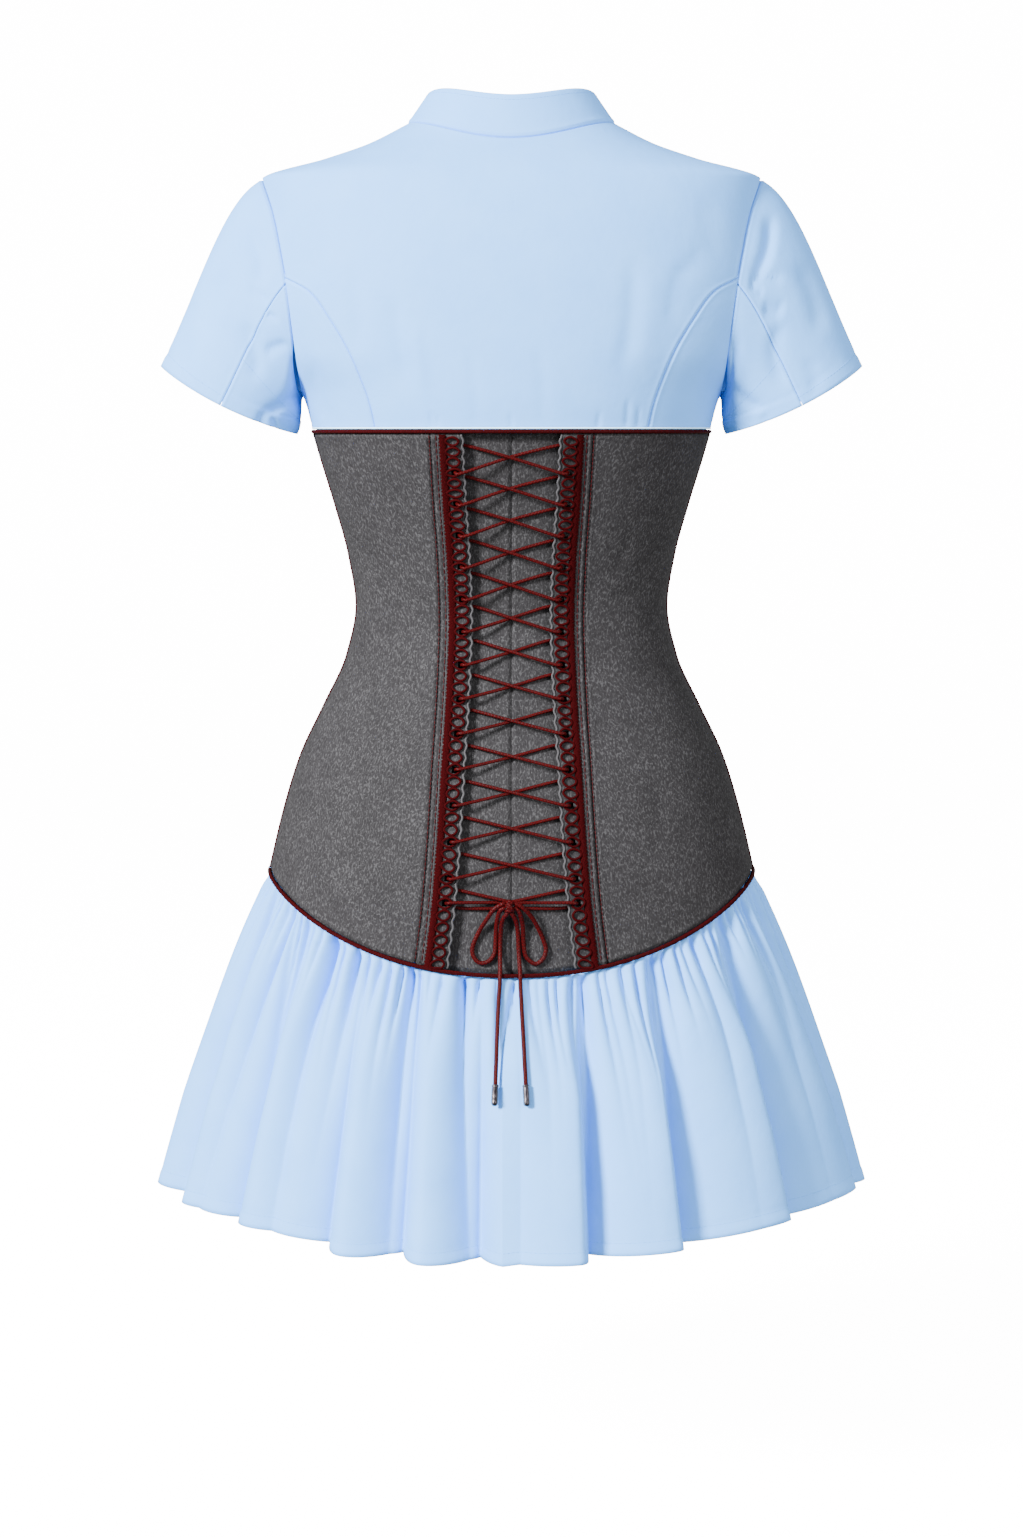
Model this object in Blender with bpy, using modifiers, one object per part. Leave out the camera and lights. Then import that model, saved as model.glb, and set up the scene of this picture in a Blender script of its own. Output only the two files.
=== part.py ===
"""Corset dress, filled out as when it is worn: shirt bodice, laced corset and gathered skirt.

Metres, +Z up. The laced back faces -Y and +X is the wearer's right. The origin lies on the
shoulder line, halfway between the two points where the shoulder seams meet the collar.
A place on the body is a turn, in degrees from the centre back (0) over the wearer's right
side (90) to the centre front (180), and a height. Each panel is an open surface on that
body, given its wall by Solidify, whose thickness goes inwards.
"""

import math
from collections import namedtuple

import bmesh
import bpy
from mathutils import Vector

# Cloth walls, cords and the gaps that keep neighbours apart
POPLIN = 0.0012
COLLAR_WALL = 0.0024
DENIM = 0.0020
MODESTY_WALL = 0.0016
PIPING_RADIUS = 0.0013
SIDE_PIPING_RADIUS = 0.0010
CORD_RADIUS = 0.00125
SEAM_GAP = 0.0004
TOUCH = 0.0003
PIPING_LIFT = 0.0
SQUARENESS = 2.2

Section = namedtuple("Section", "height half_width back front")
BODY = [
    Section(0.0000, 0.0780, 0.050, 0.050),
    Section(-0.0151, 0.1082, 0.062, 0.058),
    Section(-0.0262, 0.1405, 0.072, 0.063),
    Section(-0.0410, 0.1875, 0.083, 0.069),
    Section(-0.0620, 0.1890, 0.092, 0.077),
    Section(-0.0900, 0.1905, 0.099, 0.090),
    Section(-0.1240, 0.1905, 0.104, 0.104),
    Section(-0.1700, 0.1790, 0.106, 0.118),
    Section(-0.2016, 0.1582, 0.105, 0.125),
    Section(-0.2290, 0.1500, 0.101, 0.127),
    Section(-0.2500, 0.1440, 0.096, 0.124),
    Section(-0.2850, 0.1334, 0.087, 0.111),
    Section(-0.3230, 0.1233, 0.079, 0.097),
    Section(-0.3610, 0.1179, 0.075, 0.089),
    Section(-0.3990, 0.1254, 0.079, 0.089),
    Section(-0.4380, 0.1433, 0.089, 0.094),
    Section(-0.4760, 0.1613, 0.101, 0.100),
    Section(-0.5150, 0.1737, 0.111, 0.106),
    Section(-0.5540, 0.1834, 0.118, 0.110),
    Section(-0.5970, 0.1930, 0.122, 0.113),
    Section(-0.6400, 0.1990, 0.124, 0.115),
]

# Seam places on each half of the body: height, and distance from the centre line
SeamRow = namedtuple("SeamRow", "height across")
UNDERARM_HEIGHT = -0.2016
SHOULDER_TIP = SeamRow(-0.0410, 0.1875)
ARMHOLE = [
    SHOULDER_TIP,
    SeamRow(-0.0700, 0.1770),
    SeamRow(-0.0957, 0.1713),
    SeamRow(-0.1252, 0.1660),
    SeamRow(-0.1700, 0.1608),
    SeamRow(-0.1850, 0.1595),
    SeamRow(UNDERARM_HEIGHT, 0.1582),
]
PRINCESS_TOP = -0.1165
PRINCESS = [
    SeamRow(PRINCESS_TOP, 0.1675),
    SeamRow(-0.1270, 0.1488),
    SeamRow(-0.1462, 0.1341),
    SeamRow(-0.1702, 0.1197),
    SeamRow(-0.1897, 0.1111),
    SeamRow(-0.2099, 0.1040),
    SeamRow(-0.2290, 0.0998),
]
FRONT_SEAM = [
    SeamRow(-0.2290, 0.0998),
    SeamRow(-0.3610, 0.0620),
    SeamRow(-0.4760, 0.0800),
    SeamRow(-0.6400, 0.0950),
]

# Neckline and collar, as half sizes of the ring around the neck
NECK_HALF_WIDTH = 0.0780
NECK_BACK = 0.062
NECK_FRONT = 0.076
COLLAR_TOP_HALF_WIDTH = 0.0620
COLLAR_TOP_BACK = 0.054
COLLAR_TOP_FRONT = 0.060
COLLAR_RISE_BACK = 0.0320
COLLAR_RISE_SIDE = 0.0235
COLLAR_RISE_FRONT = 0.0300

# Corset edges
CORSET_TOP = -0.2290
CORSET_BOTTOM_SIDE = -0.5642
CORSET_DIP = 0.0620
EDGE_CLEARANCE = PIPING_RADIUS + SEAM_GAP

# Lacing: the tips of the loops, from the centre line, and what is set from them
LOOP_TIPS = [
    SeamRow(-0.2290, 0.0375),
    SeamRow(-0.2790, 0.0350),
    SeamRow(-0.3230, 0.0322),
    SeamRow(-0.3670, 0.0308),
    SeamRow(-0.4110, 0.0322),
    SeamRow(-0.4410, 0.0338),
    SeamRow(-0.4710, 0.0358),
    SeamRow(-0.5320, 0.0395),
    SeamRow(-0.5780, 0.0434),
    SeamRow(-0.6230, 0.0490),
]
TAPE_WIDTH = 0.0152
TAPE_WALL = 0.0016
TAPE_LIFT = 0.0006
LOOP_VALLEY = 0.0052
LOOP_HOLE_LENGTH = 0.0062
LOOP_HOLE_HEIGHT = 0.0046
LOOP_HOLE_CENTRE = 0.0050
PLACKET_OVERHANG = 0.0015
PLACKET_WIDTH = 0.0240
RECESS = 0.0062
UNDER_CLEARANCE = 0.0012
CROSSINGS = 13
FIRST_CROSSING = 0.2484
CROSSING_PITCH = 0.0228
CROSSING_GROWTH = 0.00016
OVER_DROP = 0.0102
UNDER_RISE = 0.0088
LOOPS_PER_CROSSING = 3
LAST_LOOP = 38

# Knot, bow and free ends, as places from the knot's centre
KNOT_ACROSS = -0.0015
KNOT_HEIGHT = -0.5745
KNOT_SIZE = Vector((0.0070, 0.0066, 0.0104))
KNOT_LIFT = 0.0038
AGLET_RADIUS = 0.0026
AGLET_LENGTH = 0.0156
AGLET_SIDES = 16

# Skirt
HEM_HALF_WIDTH = 0.2662
HEM_BACK = 0.1950
HEM_FRONT = 0.1850
HEM_SIDE_HEIGHT = -0.8035
HEM_DIP = 0.0190
FLARE_BULGE = 0.05
VALLEY_DEPTH = 0.0115
GATHER_DEPTH = 0.0022
GATHER_TURN = 3.6
GATHER_COLUMNS = 2
SKIRT_ROWS = [0.0, 0.10, 0.42, 1.0]
# Each large fold: the turn of the valley where it starts, how far its crest stands out, and how
# much lower than the even hem it hangs. The last row only closes the ring.
Fold = namedtuple("Fold", "start crest drop")
FOLDS = [
    Fold(-90.0, 0.0100, 0.0000),
    Fold(-70.2, 0.0110, 0.0000),
    Fold(-51.7, 0.0120, -0.0030),
    Fold(-31.0, 0.0110, 0.0020),
    Fold(-17.9, 0.0120, 0.0015),
    Fold(-5.0, 0.0125, 0.0000),
    Fold(12.5, 0.0110, -0.0015),
    Fold(28.4, 0.0115, -0.0050),
    Fold(50.9, 0.0120, -0.0050),
    Fold(76.0, 0.0095, 0.0000),
    Fold(90.0, 0.0105, 0.0000),
    Fold(108.0, 0.0115, -0.0010),
    Fold(127.0, 0.0120, 0.0010),
    Fold(144.0, 0.0110, 0.0000),
    Fold(161.0, 0.0120, 0.0015),
    Fold(175.0, 0.0120, -0.0010),
    Fold(192.0, 0.0110, 0.0010),
    Fold(207.0, 0.0120, -0.0020),
    Fold(227.0, 0.0110, 0.0000),
    Fold(243.0, 0.0115, -0.0010),
    Fold(257.0, 0.0100, 0.0000),
    Fold(270.0, 0.0100, 0.0000),
]

# Sleeve
SLEEVE_AXIS = Vector((0.447, 0.0, -0.894))
HEM_OUTWARD = Vector((0.894, 0.0, 0.447))
CAP_DIRECTION = Vector((0.91, 0.0, -0.41))
SLEEVE_HEM_CENTRE = Vector((0.2142, 0.0, -0.2054))
SLEEVE_HEM_HALF_WIDTH = 0.0572
SLEEVE_HEM_HALF_DEPTH = 0.0470
SLEEVE_HEM_SAG = 0.0052
SLEEVE_START = 0.0008
SLEEVE_ROWS = [0.0, 0.12, 0.28, 0.50, 0.75, 1.0]
SLEEVE_STEP = 15.0

# Front closure
SHIRT_PLACKET_HALF_WIDTH = 0.0130
SHIRT_PLACKET_WALL = 0.0014
SHIRT_PLACKET_TOP = -0.0660
BUTTON_RADIUS = 0.0056
BUTTON_WALL = 0.0024
BUTTON_HEIGHTS = [-0.0790, -0.1230, -0.1670, -0.2110]

COLOURS = {
    "poplin": ((0.60, 0.74, 0.92), 0.75, 0.0),
    "denim": ((0.13, 0.13, 0.135), 0.85, 0.0),
    "trim": ((0.26, 0.012, 0.018), 0.70, 0.0),
    "button": ((0.80, 0.86, 0.93), 0.35, 0.0),
    "metal": ((0.20, 0.18, 0.17), 0.30, 1.0),
}


def eased(places, values, place):
    """The value at a place in a table whose places fall or rise, with no overshoot between rows."""
    if places[0] > places[-1]:
        places, values = places[::-1], values[::-1]
    place = min(max(place, places[0]), places[-1])
    last = len(places) - 1
    steps = [places[i + 1] - places[i] for i in range(last)]
    slopes = [(values[i + 1] - values[i]) / steps[i] for i in range(last)]

    def tangent(i):
        if i in (0, last):
            return slopes[0] if i == 0 else slopes[-1]
        before, after = slopes[i - 1], slopes[i]
        return 0.0 if before * after <= 0 else 2 * before * after / (before + after)

    i = max(k for k in range(last) if places[k] <= place)
    t = (place - places[i]) / steps[i]
    low, high = values[i], values[i + 1]
    return (
        low * (1 + 2 * t) * (1 - t) ** 2
        + tangent(i) * steps[i] * t * (1 - t) ** 2
        + high * t * t * (3 - 2 * t)
        + tangent(i + 1) * steps[i] * t * t * (t - 1)
    )


def seam_across(rows, height):
    """How far a seam lies from the centre line at a height."""
    return eased([r.height for r in rows], [r.across for r in rows], height)


def section(height):
    """Half width, back depth and front depth of the body at a height."""
    heights = [row.height for row in BODY]
    return tuple(
        eased(heights, [getattr(row, name) for row in BODY], height)
        for name in ("half_width", "back", "front")
    )


def powered(value, power):
    """A signed power."""
    return math.copysign(abs(value) ** power, value)


def on_ring(turn, height):
    """The point of the body's outer surface at a turn and a height."""
    half_width, back, front = section(height)
    across, along = math.sin(math.radians(turn)), math.cos(math.radians(turn))
    depth = back if along > 0 else front
    power = 2 / SQUARENESS
    return Vector((half_width * powered(across, power), -depth * powered(along, power), height))


def body_point(turn, height, out=0.0):
    """The body's point at a turn and height, moved out along the surface's normal."""
    point = on_ring(turn, height)
    if not out:
        return point
    around = on_ring(turn + 0.5, height) - on_ring(turn - 0.5, height)
    upward = on_ring(turn, height + 0.002) - on_ring(turn, height - 0.002)
    return point + around.cross(upward).normalized() * out


def turn_of(across, height, front=False):
    """The turn at which the body lies this far from the centre line, at a height."""
    half_width = section(height)[0]
    share = min(1.0, abs(across) / half_width)
    turn = math.degrees(math.asin(share ** (SQUARENESS / 2)))
    turn = 180 - turn if front else turn
    return math.copysign(turn, across) if across else turn


def height_over(across, depth):
    """The height at which the shoulder part of the body passes over a place seen from above."""
    low, high = -0.12, 0.03
    for _ in range(40):
        middle = (low + high) / 2
        half_width, back, front = section(middle)
        reach = back if depth < 0 else front
        # Above the first section the rings keep shrinking in step with the shoulder's slope.
        shrink = 1.0 - max(0.0, middle) * 20
        share = (abs(across) / (half_width * shrink)) ** SQUARENESS
        share += (abs(depth) / (reach * shrink)) ** SQUARENESS
        low, high = (middle, high) if share < 1 else (low, middle)
    return low


def neck_point(swing):
    """The neckline's point, by its angle around the neck from the centre back."""
    sine, cosine = math.sin(math.radians(swing)), math.cos(math.radians(swing))
    depth = -(NECK_BACK if cosine > 0 else NECK_FRONT) * cosine
    across = NECK_HALF_WIDTH * sine
    return Vector((across, depth, height_over(across, depth)))


def armhole_point(angle):
    """The armhole's point on the wearer's right: 0 is the underarm, 90 the back, 180 the shoulder tip."""
    middle = (UNDERARM_HEIGHT + SHOULDER_TIP.height) / 2
    half = (SHOULDER_TIP.height - UNDERARM_HEIGHT) / 2
    height = middle - half * math.cos(math.radians(angle))
    across = seam_across(ARMHOLE, height)
    return body_point(turn_of(across, height, front=math.sin(math.radians(angle)) < 0), height)


def new_material(name):
    """A plain material for one finish."""
    colour, roughness, metallic = COLOURS[name]
    material = bpy.data.materials.new(name)
    material.use_nodes = True
    shader = material.node_tree.nodes["Principled BSDF"]
    shader.inputs["Base Color"].default_value = (*colour, 1.0)
    shader.inputs["Roughness"].default_value = roughness
    shader.inputs["Metallic"].default_value = metallic
    material.diffuse_color = (*colour, 1.0)
    return material


def add_object(name, data, finish):
    """Puts a mesh or curve in the dress's collection with its material."""
    made = bpy.data.objects.new(name, data)
    data.materials.append(MATERIALS[finish])
    COLLECTION.objects.link(made)
    return made


def add_wall(name, points, faces, finish, wall, outwards=False):
    """A cloth wall: an open surface whose thickness goes inwards, or outwards from a panel."""
    mesh = bpy.data.meshes.new(name)
    mesh.from_pydata([tuple(p) for p in points], [], faces)
    mesh.shade_smooth()
    made = add_object(name, mesh, finish)
    solidify = made.modifiers.new("wall", "SOLIDIFY")
    solidify.thickness = wall
    solidify.offset = 1.0 if outwards else -1.0
    return made


def add_panel(name, rows, finish, wall, outwards=False, gone=()):
    """A wall from rows of points, bottom row first, each running from left to right seen from outside.

    gone holds the (row, column) cells that are left open.
    """
    columns = len(rows[0])
    points = [point for row in rows for point in row]
    faces = [
        (r * columns + c, r * columns + c + 1, (r + 1) * columns + c + 1, (r + 1) * columns + c)
        for r in range(len(rows) - 1)
        for c in range(columns - 1)
        if (r, c) not in gone
    ]
    return add_wall(name, points, faces, finish, wall, outwards)


def add_cord(name, points, radius, finish="trim", resolution=2, closed=False):
    """A round cord along points, with filled ends."""
    curve = bpy.data.curves.new(name, "CURVE")
    curve.dimensions = "3D"
    curve.bevel_depth = radius
    curve.bevel_resolution = resolution
    curve.use_fill_caps = not closed
    curve.twist_mode = "MINIMUM"
    spline = curve.splines.new("POLY")
    spline.points.add(len(points) - 1)
    for place, point in zip(spline.points, points):
        place.co = (*point, 1.0)
    spline.use_cyclic_u = closed
    return add_object(name, curve, finish)


def mirrored(points):
    """Points of the wearer's left side from those of the right, in the order that keeps faces outwards."""
    return [Vector((-p.x, p.y, p.z)) for p in reversed(points)]


def smooth_path(marks, per_span):
    """A smooth run of points through the marks (Catmull-Rom)."""
    ends = [marks[0] * 2 - marks[1], *marks, marks[-1] * 2 - marks[-2]]
    path = []
    for before, here, there, after in zip(ends, ends[1:], ends[2:], ends[3:]):
        for step in range(per_span):
            t = step / per_span
            path.append(
                0.5
                * (
                    here * 2
                    + (there - before) * t
                    + (before * 2 - here * 5 + there * 4 - after) * t * t
                    + (here * 3 - before - there * 3 + after) * t**3
                )
            )
    return [*path, marks[-1].copy()]


def spread(start, end, count):
    """Evenly spaced values from start to end, both included."""
    return [start + (end - start) * i / (count - 1) for i in range(count)]


def coons(bottom, top, left, right, u, v):
    """A place inside four edges, each a function of its own share from 0 to 1."""
    corner = (bottom(0), bottom(1), top(0), top(1))
    return tuple(
        (1 - v) * bottom(u)[k]
        + v * top(u)[k]
        + (1 - u) * left(v)[k]
        + u * right(v)[k]
        - (1 - u) * (1 - v) * corner[0][k]
        - u * (1 - v) * corner[1][k]
        - (1 - u) * v * corner[2][k]
        - u * v * corner[3][k]
        for k in (0, 1)
    )


PRINCESS_ROWS = 4
SHOULDER_ROWS = 4
PRINCESS_SHARE = 0.58
NECK_SHARE = 0.42
NECK_COLUMNS = 6
SHOULDER_COLUMNS = 3
BODICE_BOTTOM = CORSET_TOP + EDGE_CLEARANCE


def centre_panel_point(u, v, front):
    """A point of the half centre panel: u runs from the centre line out, v from the corset up."""
    side = 1 if front else -1
    neck_centre = neck_point(180 if front else 0).z

    def outer(share):
        if share <= PRINCESS_SHARE:
            height = BODICE_BOTTOM + (PRINCESS_TOP - BODICE_BOTTOM) * share / PRINCESS_SHARE
            return seam_across(PRINCESS, height) - SEAM_GAP, height
        rise = (share - PRINCESS_SHARE) / (1 - PRINCESS_SHARE)
        rise = math.sin(rise * math.pi / 2)
        height = PRINCESS_TOP + (top(1)[1] - PRINCESS_TOP) * rise
        blend = (top(1)[0] - SHOULDER_TIP.across) * rise - SEAM_GAP * (1 - rise)
        return seam_across(ARMHOLE, height) + blend, height

    def top(share):
        if share <= NECK_SHARE:
            swing = 90 * share / NECK_SHARE
            place = neck_point(180 - swing if front else swing)
            return place.x, min(place.z, height_over(place.x, side * SEAM_GAP / 2))
        out = (share - NECK_SHARE) / (1 - NECK_SHARE)
        across = NECK_HALF_WIDTH + (SHOULDER_TIP.across - 0.0004 - NECK_HALF_WIDTH) * out
        return across, height_over(across, side * SEAM_GAP / 2)

    def bottom(share):
        return outer(0)[0] * share, BODICE_BOTTOM

    def centre(share):
        return 0.0, BODICE_BOTTOM + (neck_centre - BODICE_BOTTOM) * share

    across, height = coons(bottom, top, centre, outer, u, v)
    return body_point(turn_of(across, height, front), height)


def centre_panel_columns():
    """The shares across the centre panel: those of the neckline are the collar's too."""
    return spread(0, NECK_SHARE, NECK_COLUMNS + 1) + spread(NECK_SHARE, 1, SHOULDER_COLUMNS + 1)[1:]


def centre_panel_shares():
    """The shares up the centre panel: even along the princess seam, closer towards the shoulder."""
    low = spread(0, PRINCESS_SHARE, PRINCESS_ROWS + 1)
    high = [
        PRINCESS_SHARE + (1 - PRINCESS_SHARE) * math.sin(math.pi / 2 * i / SHOULDER_ROWS)
        for i in range(1, SHOULDER_ROWS + 1)
    ]
    return low + high


def side_panel_point(u, v, front):
    """A point of the half side panel: u runs from the princess seam to the side seam."""
    gap_turn = math.degrees(SEAM_GAP / 2 / 0.11)

    def seam(share):
        height = BODICE_BOTTOM + (PRINCESS_TOP - BODICE_BOTTOM) * share
        return turn_of(seam_across(PRINCESS, height) + SEAM_GAP, height), height

    def side(share):
        return 90 - gap_turn, BODICE_BOTTOM + (UNDERARM_HEIGHT - BODICE_BOTTOM) * share

    def bottom(share):
        return seam(0)[0] + (side(0)[0] - seam(0)[0]) * share, BODICE_BOTTOM

    def top(share):
        low, high = UNDERARM_HEIGHT, PRINCESS_TOP
        height = low + (high - low) * math.cos(share * math.pi / 2) ** 1.2
        blend = math.cos(share * math.pi / 2)
        turn = turn_of(seam_across(ARMHOLE, height), height)
        turn = min(turn, 90 - gap_turn)
        return turn * (1 - blend) + min(turn, seam(1)[0]) * blend if share < 0.02 else turn, height

    turn, height = coons(bottom, top, seam, side, u, v)
    return body_point(180 - turn if front else turn, height)


def build_bodice():
    """The shirt bodice: centre and side panels, back and front."""
    shares = centre_panel_shares()
    columns = centre_panel_columns()
    half = [[centre_panel_point(u, v, False) for u in columns] for v in shares]
    rows = [mirrored(row[1:]) + row for row in half]
    add_panel("bodice_back_centre", rows, "poplin", POPLIN)

    front = [[centre_panel_point(u, v, True) for u in columns] for v in shares]
    for row in front:
        row[0].x = SEAM_GAP / 2
    add_panel("bodice_front_right", [row[::-1] for row in front], "poplin", POPLIN)
    add_panel("bodice_front_left", [mirrored(row[::-1]) for row in front], "poplin", POPLIN)

    for name, is_front in (("back", False), ("front", True)):
        rows = [
            [side_panel_point(u, v, is_front) for u in spread(0, 1, 6)]
            for v in spread(0, 1, PRINCESS_ROWS + 1)
        ]
        if is_front:
            rows = [row[::-1] for row in rows]
        add_panel(f"bodice_side_{name}_right", rows, "poplin", POPLIN)
        add_panel(f"bodice_side_{name}_left", [mirrored(r) for r in rows], "poplin", POPLIN)


def build_collar():
    """The stand collar, whose two ends meet at the centre front."""
    end_gap = 0.6
    rows = []
    for share in (0.0, 0.5, 1.0):
        row = []
        swings = spread(-180, 180, 4 * NECK_COLUMNS + 1)
        for swing in (-180 + end_gap, *swings[1:-1], 180 - end_gap):
            foot = neck_point(swing)
            sine, cosine = math.sin(math.radians(swing)), math.cos(math.radians(swing))
            depth = -(COLLAR_TOP_BACK if cosine > 0 else COLLAR_TOP_FRONT) * cosine
            end_rise = COLLAR_RISE_BACK if cosine > 0 else COLLAR_RISE_FRONT
            rise = COLLAR_RISE_SIDE + (end_rise - COLLAR_RISE_SIDE) * cosine**2
            brim = Vector((COLLAR_TOP_HALF_WIDTH * sine, depth, foot.z + rise))
            start = foot + Vector((0, 0, SEAM_GAP + TOUCH))
            point = start.lerp(brim, share)
            row.append(point)
        rows.append(row)
    add_panel("collar", rows, "poplin", COLLAR_WALL)


def sleeve_point(angle, share):
    """A point of the right sleeve: angle as for the armhole, share from the armhole to the hem."""
    rad = math.radians(angle)
    cap = math.sin(rad / 2) ** 2
    lead = SLEEVE_AXIS.lerp(CAP_DIRECTION, cap).normalized()
    start = armhole_point(angle)
    start = start + lead * SLEEVE_START + Vector((SLEEVE_START / 2, 0, 0))
    hem = (
        SLEEVE_HEM_CENTRE
        - HEM_OUTWARD * (SLEEVE_HEM_HALF_WIDTH * math.cos(rad))
        + Vector((0, -SLEEVE_HEM_HALF_DEPTH * math.sin(rad), 0))
        + SLEEVE_AXIS * (SLEEVE_HEM_SAG * math.sin(rad) ** 2)
    )
    reach = (hem - start).length
    first = start + lead * reach * 0.20
    second = hem - SLEEVE_AXIS * reach * 0.42
    rest = 1 - share
    return (
        start * rest**3
        + first * (3 * rest * rest * share)
        + second * (3 * rest * share * share)
        + hem * share**3
    )


def build_sleeves():
    """Upper and under sleeve on each side, sewn along the back and front of the arm."""
    gap = 0.25
    for name, low, high in (("upper", 90, 270), ("under", -90, 90)):
        count = round((high - low) / SLEEVE_STEP) + 1
        angles = spread(low + gap, high - gap, count)
        # Seen from outside, the angles run from right to left below and above the arm.
        rows = [
            [sleeve_point(angle, share) for angle in angles]
            for share in SLEEVE_ROWS[::-1]
        ]
        add_panel(f"sleeve_{name}_right", rows, "poplin", POPLIN)
        add_panel(f"sleeve_{name}_left", [mirrored(r) for r in rows], "poplin", POPLIN)


def corset_bottom(turn):
    """The height of the corset's lower edge at a turn."""
    return CORSET_BOTTOM_SIDE - CORSET_DIP * math.cos(math.radians(turn)) ** 2


def corset_row(start, end, share, columns, out=0.0):
    """Points across a corset panel at a share of the way up; start and end give turns at a height."""
    row = []
    for u in spread(0, 1, columns + 1):
        guess = CORSET_TOP + (CORSET_BOTTOM_SIDE - CORSET_TOP) * (1 - share)
        for _ in range(4):
            turn = start(guess) + (end(guess) - start(guess)) * u
            low = corset_bottom(turn) + EDGE_CLEARANCE
            high = CORSET_TOP - EDGE_CLEARANCE
            guess = low + (high - low) * share
        row.append(body_point(turn, guess, out))
    return row


def add_corset_panel(name, start, end, columns, rows, out=0.0, wall=DENIM):
    """A corset panel between two upright edges, given for the right side, and its left twin."""
    shares = spread(0, 1, rows + 1)
    right = [corset_row(start, end, share, columns, out) for share in shares]
    add_panel(f"{name}_right", right, "denim", wall)
    add_panel(f"{name}_left", [mirrored(row) for row in right], "denim", wall)


def tip_turn(offset):
    """A function giving the turn that lies this far out from the loops' tips."""
    return lambda height: turn_of(seam_across(LOOP_TIPS, height) + offset, height)


def side_seam_turn(shift):
    """The turn a little before or after the side seam, to clear its piping."""
    return 90 + math.degrees(shift / 0.085)


def crossing_height(order):
    """The height of a lace crossing, counted from the top; parts of a crossing count too."""
    return -(FIRST_CROSSING + CROSSING_PITCH * order + CROSSING_GROWTH * order**2)


def loop_height(order):
    """The height of a loop of the tape, counted from the one that takes the first crossing."""
    return crossing_height(order / LOOPS_PER_CROSSING) - OVER_DROP


def loop_of(crossing):
    """The loop that takes the lace at the lower end of a crossing; the knot pulls up the last."""
    return LAST_LOOP if crossing == CROSSINGS else crossing * LOOPS_PER_CROSSING


def build_lacing_plackets():
    """The folded strips along the lacing, with a slit behind each loop that takes the lace."""
    half_slit = LOOP_HOLE_HEIGHT / 2
    heights, slit_rows = [], []
    top = CORSET_TOP - EDGE_CLEARANCE
    heights.append(top)
    for order in range(CROSSINGS + 1):
        middle = loop_height(loop_of(order))
        slit_rows.append(len(heights))
        heights += [middle + half_slit, middle - half_slit]
    slit_near = LOOP_HOLE_CENTRE - LOOP_HOLE_LENGTH / 2
    slit_far = LOOP_HOLE_CENTRE + LOOP_HOLE_LENGTH / 2
    offsets = [-PLACKET_OVERHANG, slit_near, slit_far, PLACKET_WIDTH - PLACKET_OVERHANG]
    rows = []
    for height in heights:
        rows.append([body_point(tip_turn(offset)(height), height) for offset in offsets])
    last = []
    for offset in offsets:
        height = heights[-1]
        for _ in range(6):
            height = corset_bottom(tip_turn(offset)(height)) + EDGE_CLEARANCE
        last.append(body_point(tip_turn(offset)(height), height))
    rows.append(last)
    rows.reverse()
    count = len(rows)
    gone = {(count - 2 - r, 1) for r in slit_rows}
    add_panel("lacing_placket_right", rows, "denim", DENIM, gone=gone)
    flipped = {(r, 1) for r, _ in gone}
    add_panel("lacing_placket_left", [mirrored(row) for row in rows], "denim", DENIM, gone=flipped)


def build_corset():
    """The corset panels, its lacing strips and the modesty panels behind the lacing."""
    placket_edge = PLACKET_WIDTH - PLACKET_OVERHANG + SEAM_GAP
    add_corset_panel(
        "corset_back",
        tip_turn(placket_edge),
        lambda height: side_seam_turn(-SIDE_PIPING_RADIUS - SEAM_GAP),
        columns=6,
        rows=11,
    )
    add_corset_panel(
        "modesty_panel",
        lambda height: turn_of(SEAM_GAP, height),
        tip_turn(0.012),
        columns=2,
        rows=18,
        out=-RECESS,
        wall=MODESTY_WALL,
    )
    build_lacing_plackets()

    def front_seam(shift):
        return lambda height: turn_of(seam_across(FRONT_SEAM, height) + shift, height, True)

    add_corset_panel(
        "corset_side_front",
        lambda height: side_seam_turn(SIDE_PIPING_RADIUS + SEAM_GAP),
        front_seam(SEAM_GAP / 2),
        columns=4,
        rows=11,
    )
    rows = []
    for share in spread(0, 1, 12):
        half = corset_row(front_seam(-SEAM_GAP / 2), lambda height: 180.0, share, 3)
        rows.append(half + mirrored(half)[1:])
    add_panel("corset_front_centre", rows, "denim", DENIM)


def tape_point(side, height, inward, out):
    """A point of the loop tape: inward runs from the tips (0) to the tape's outer edge."""
    low = corset_bottom(tip_turn(inward)(height)) + EDGE_CLEARANCE + TOUCH
    height = min(max(height, low), CORSET_TOP - EDGE_CLEARANCE)
    place = body_point(tip_turn(inward)(height), height, out)
    return Vector((place.x * side, place.y, place.z))


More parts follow.
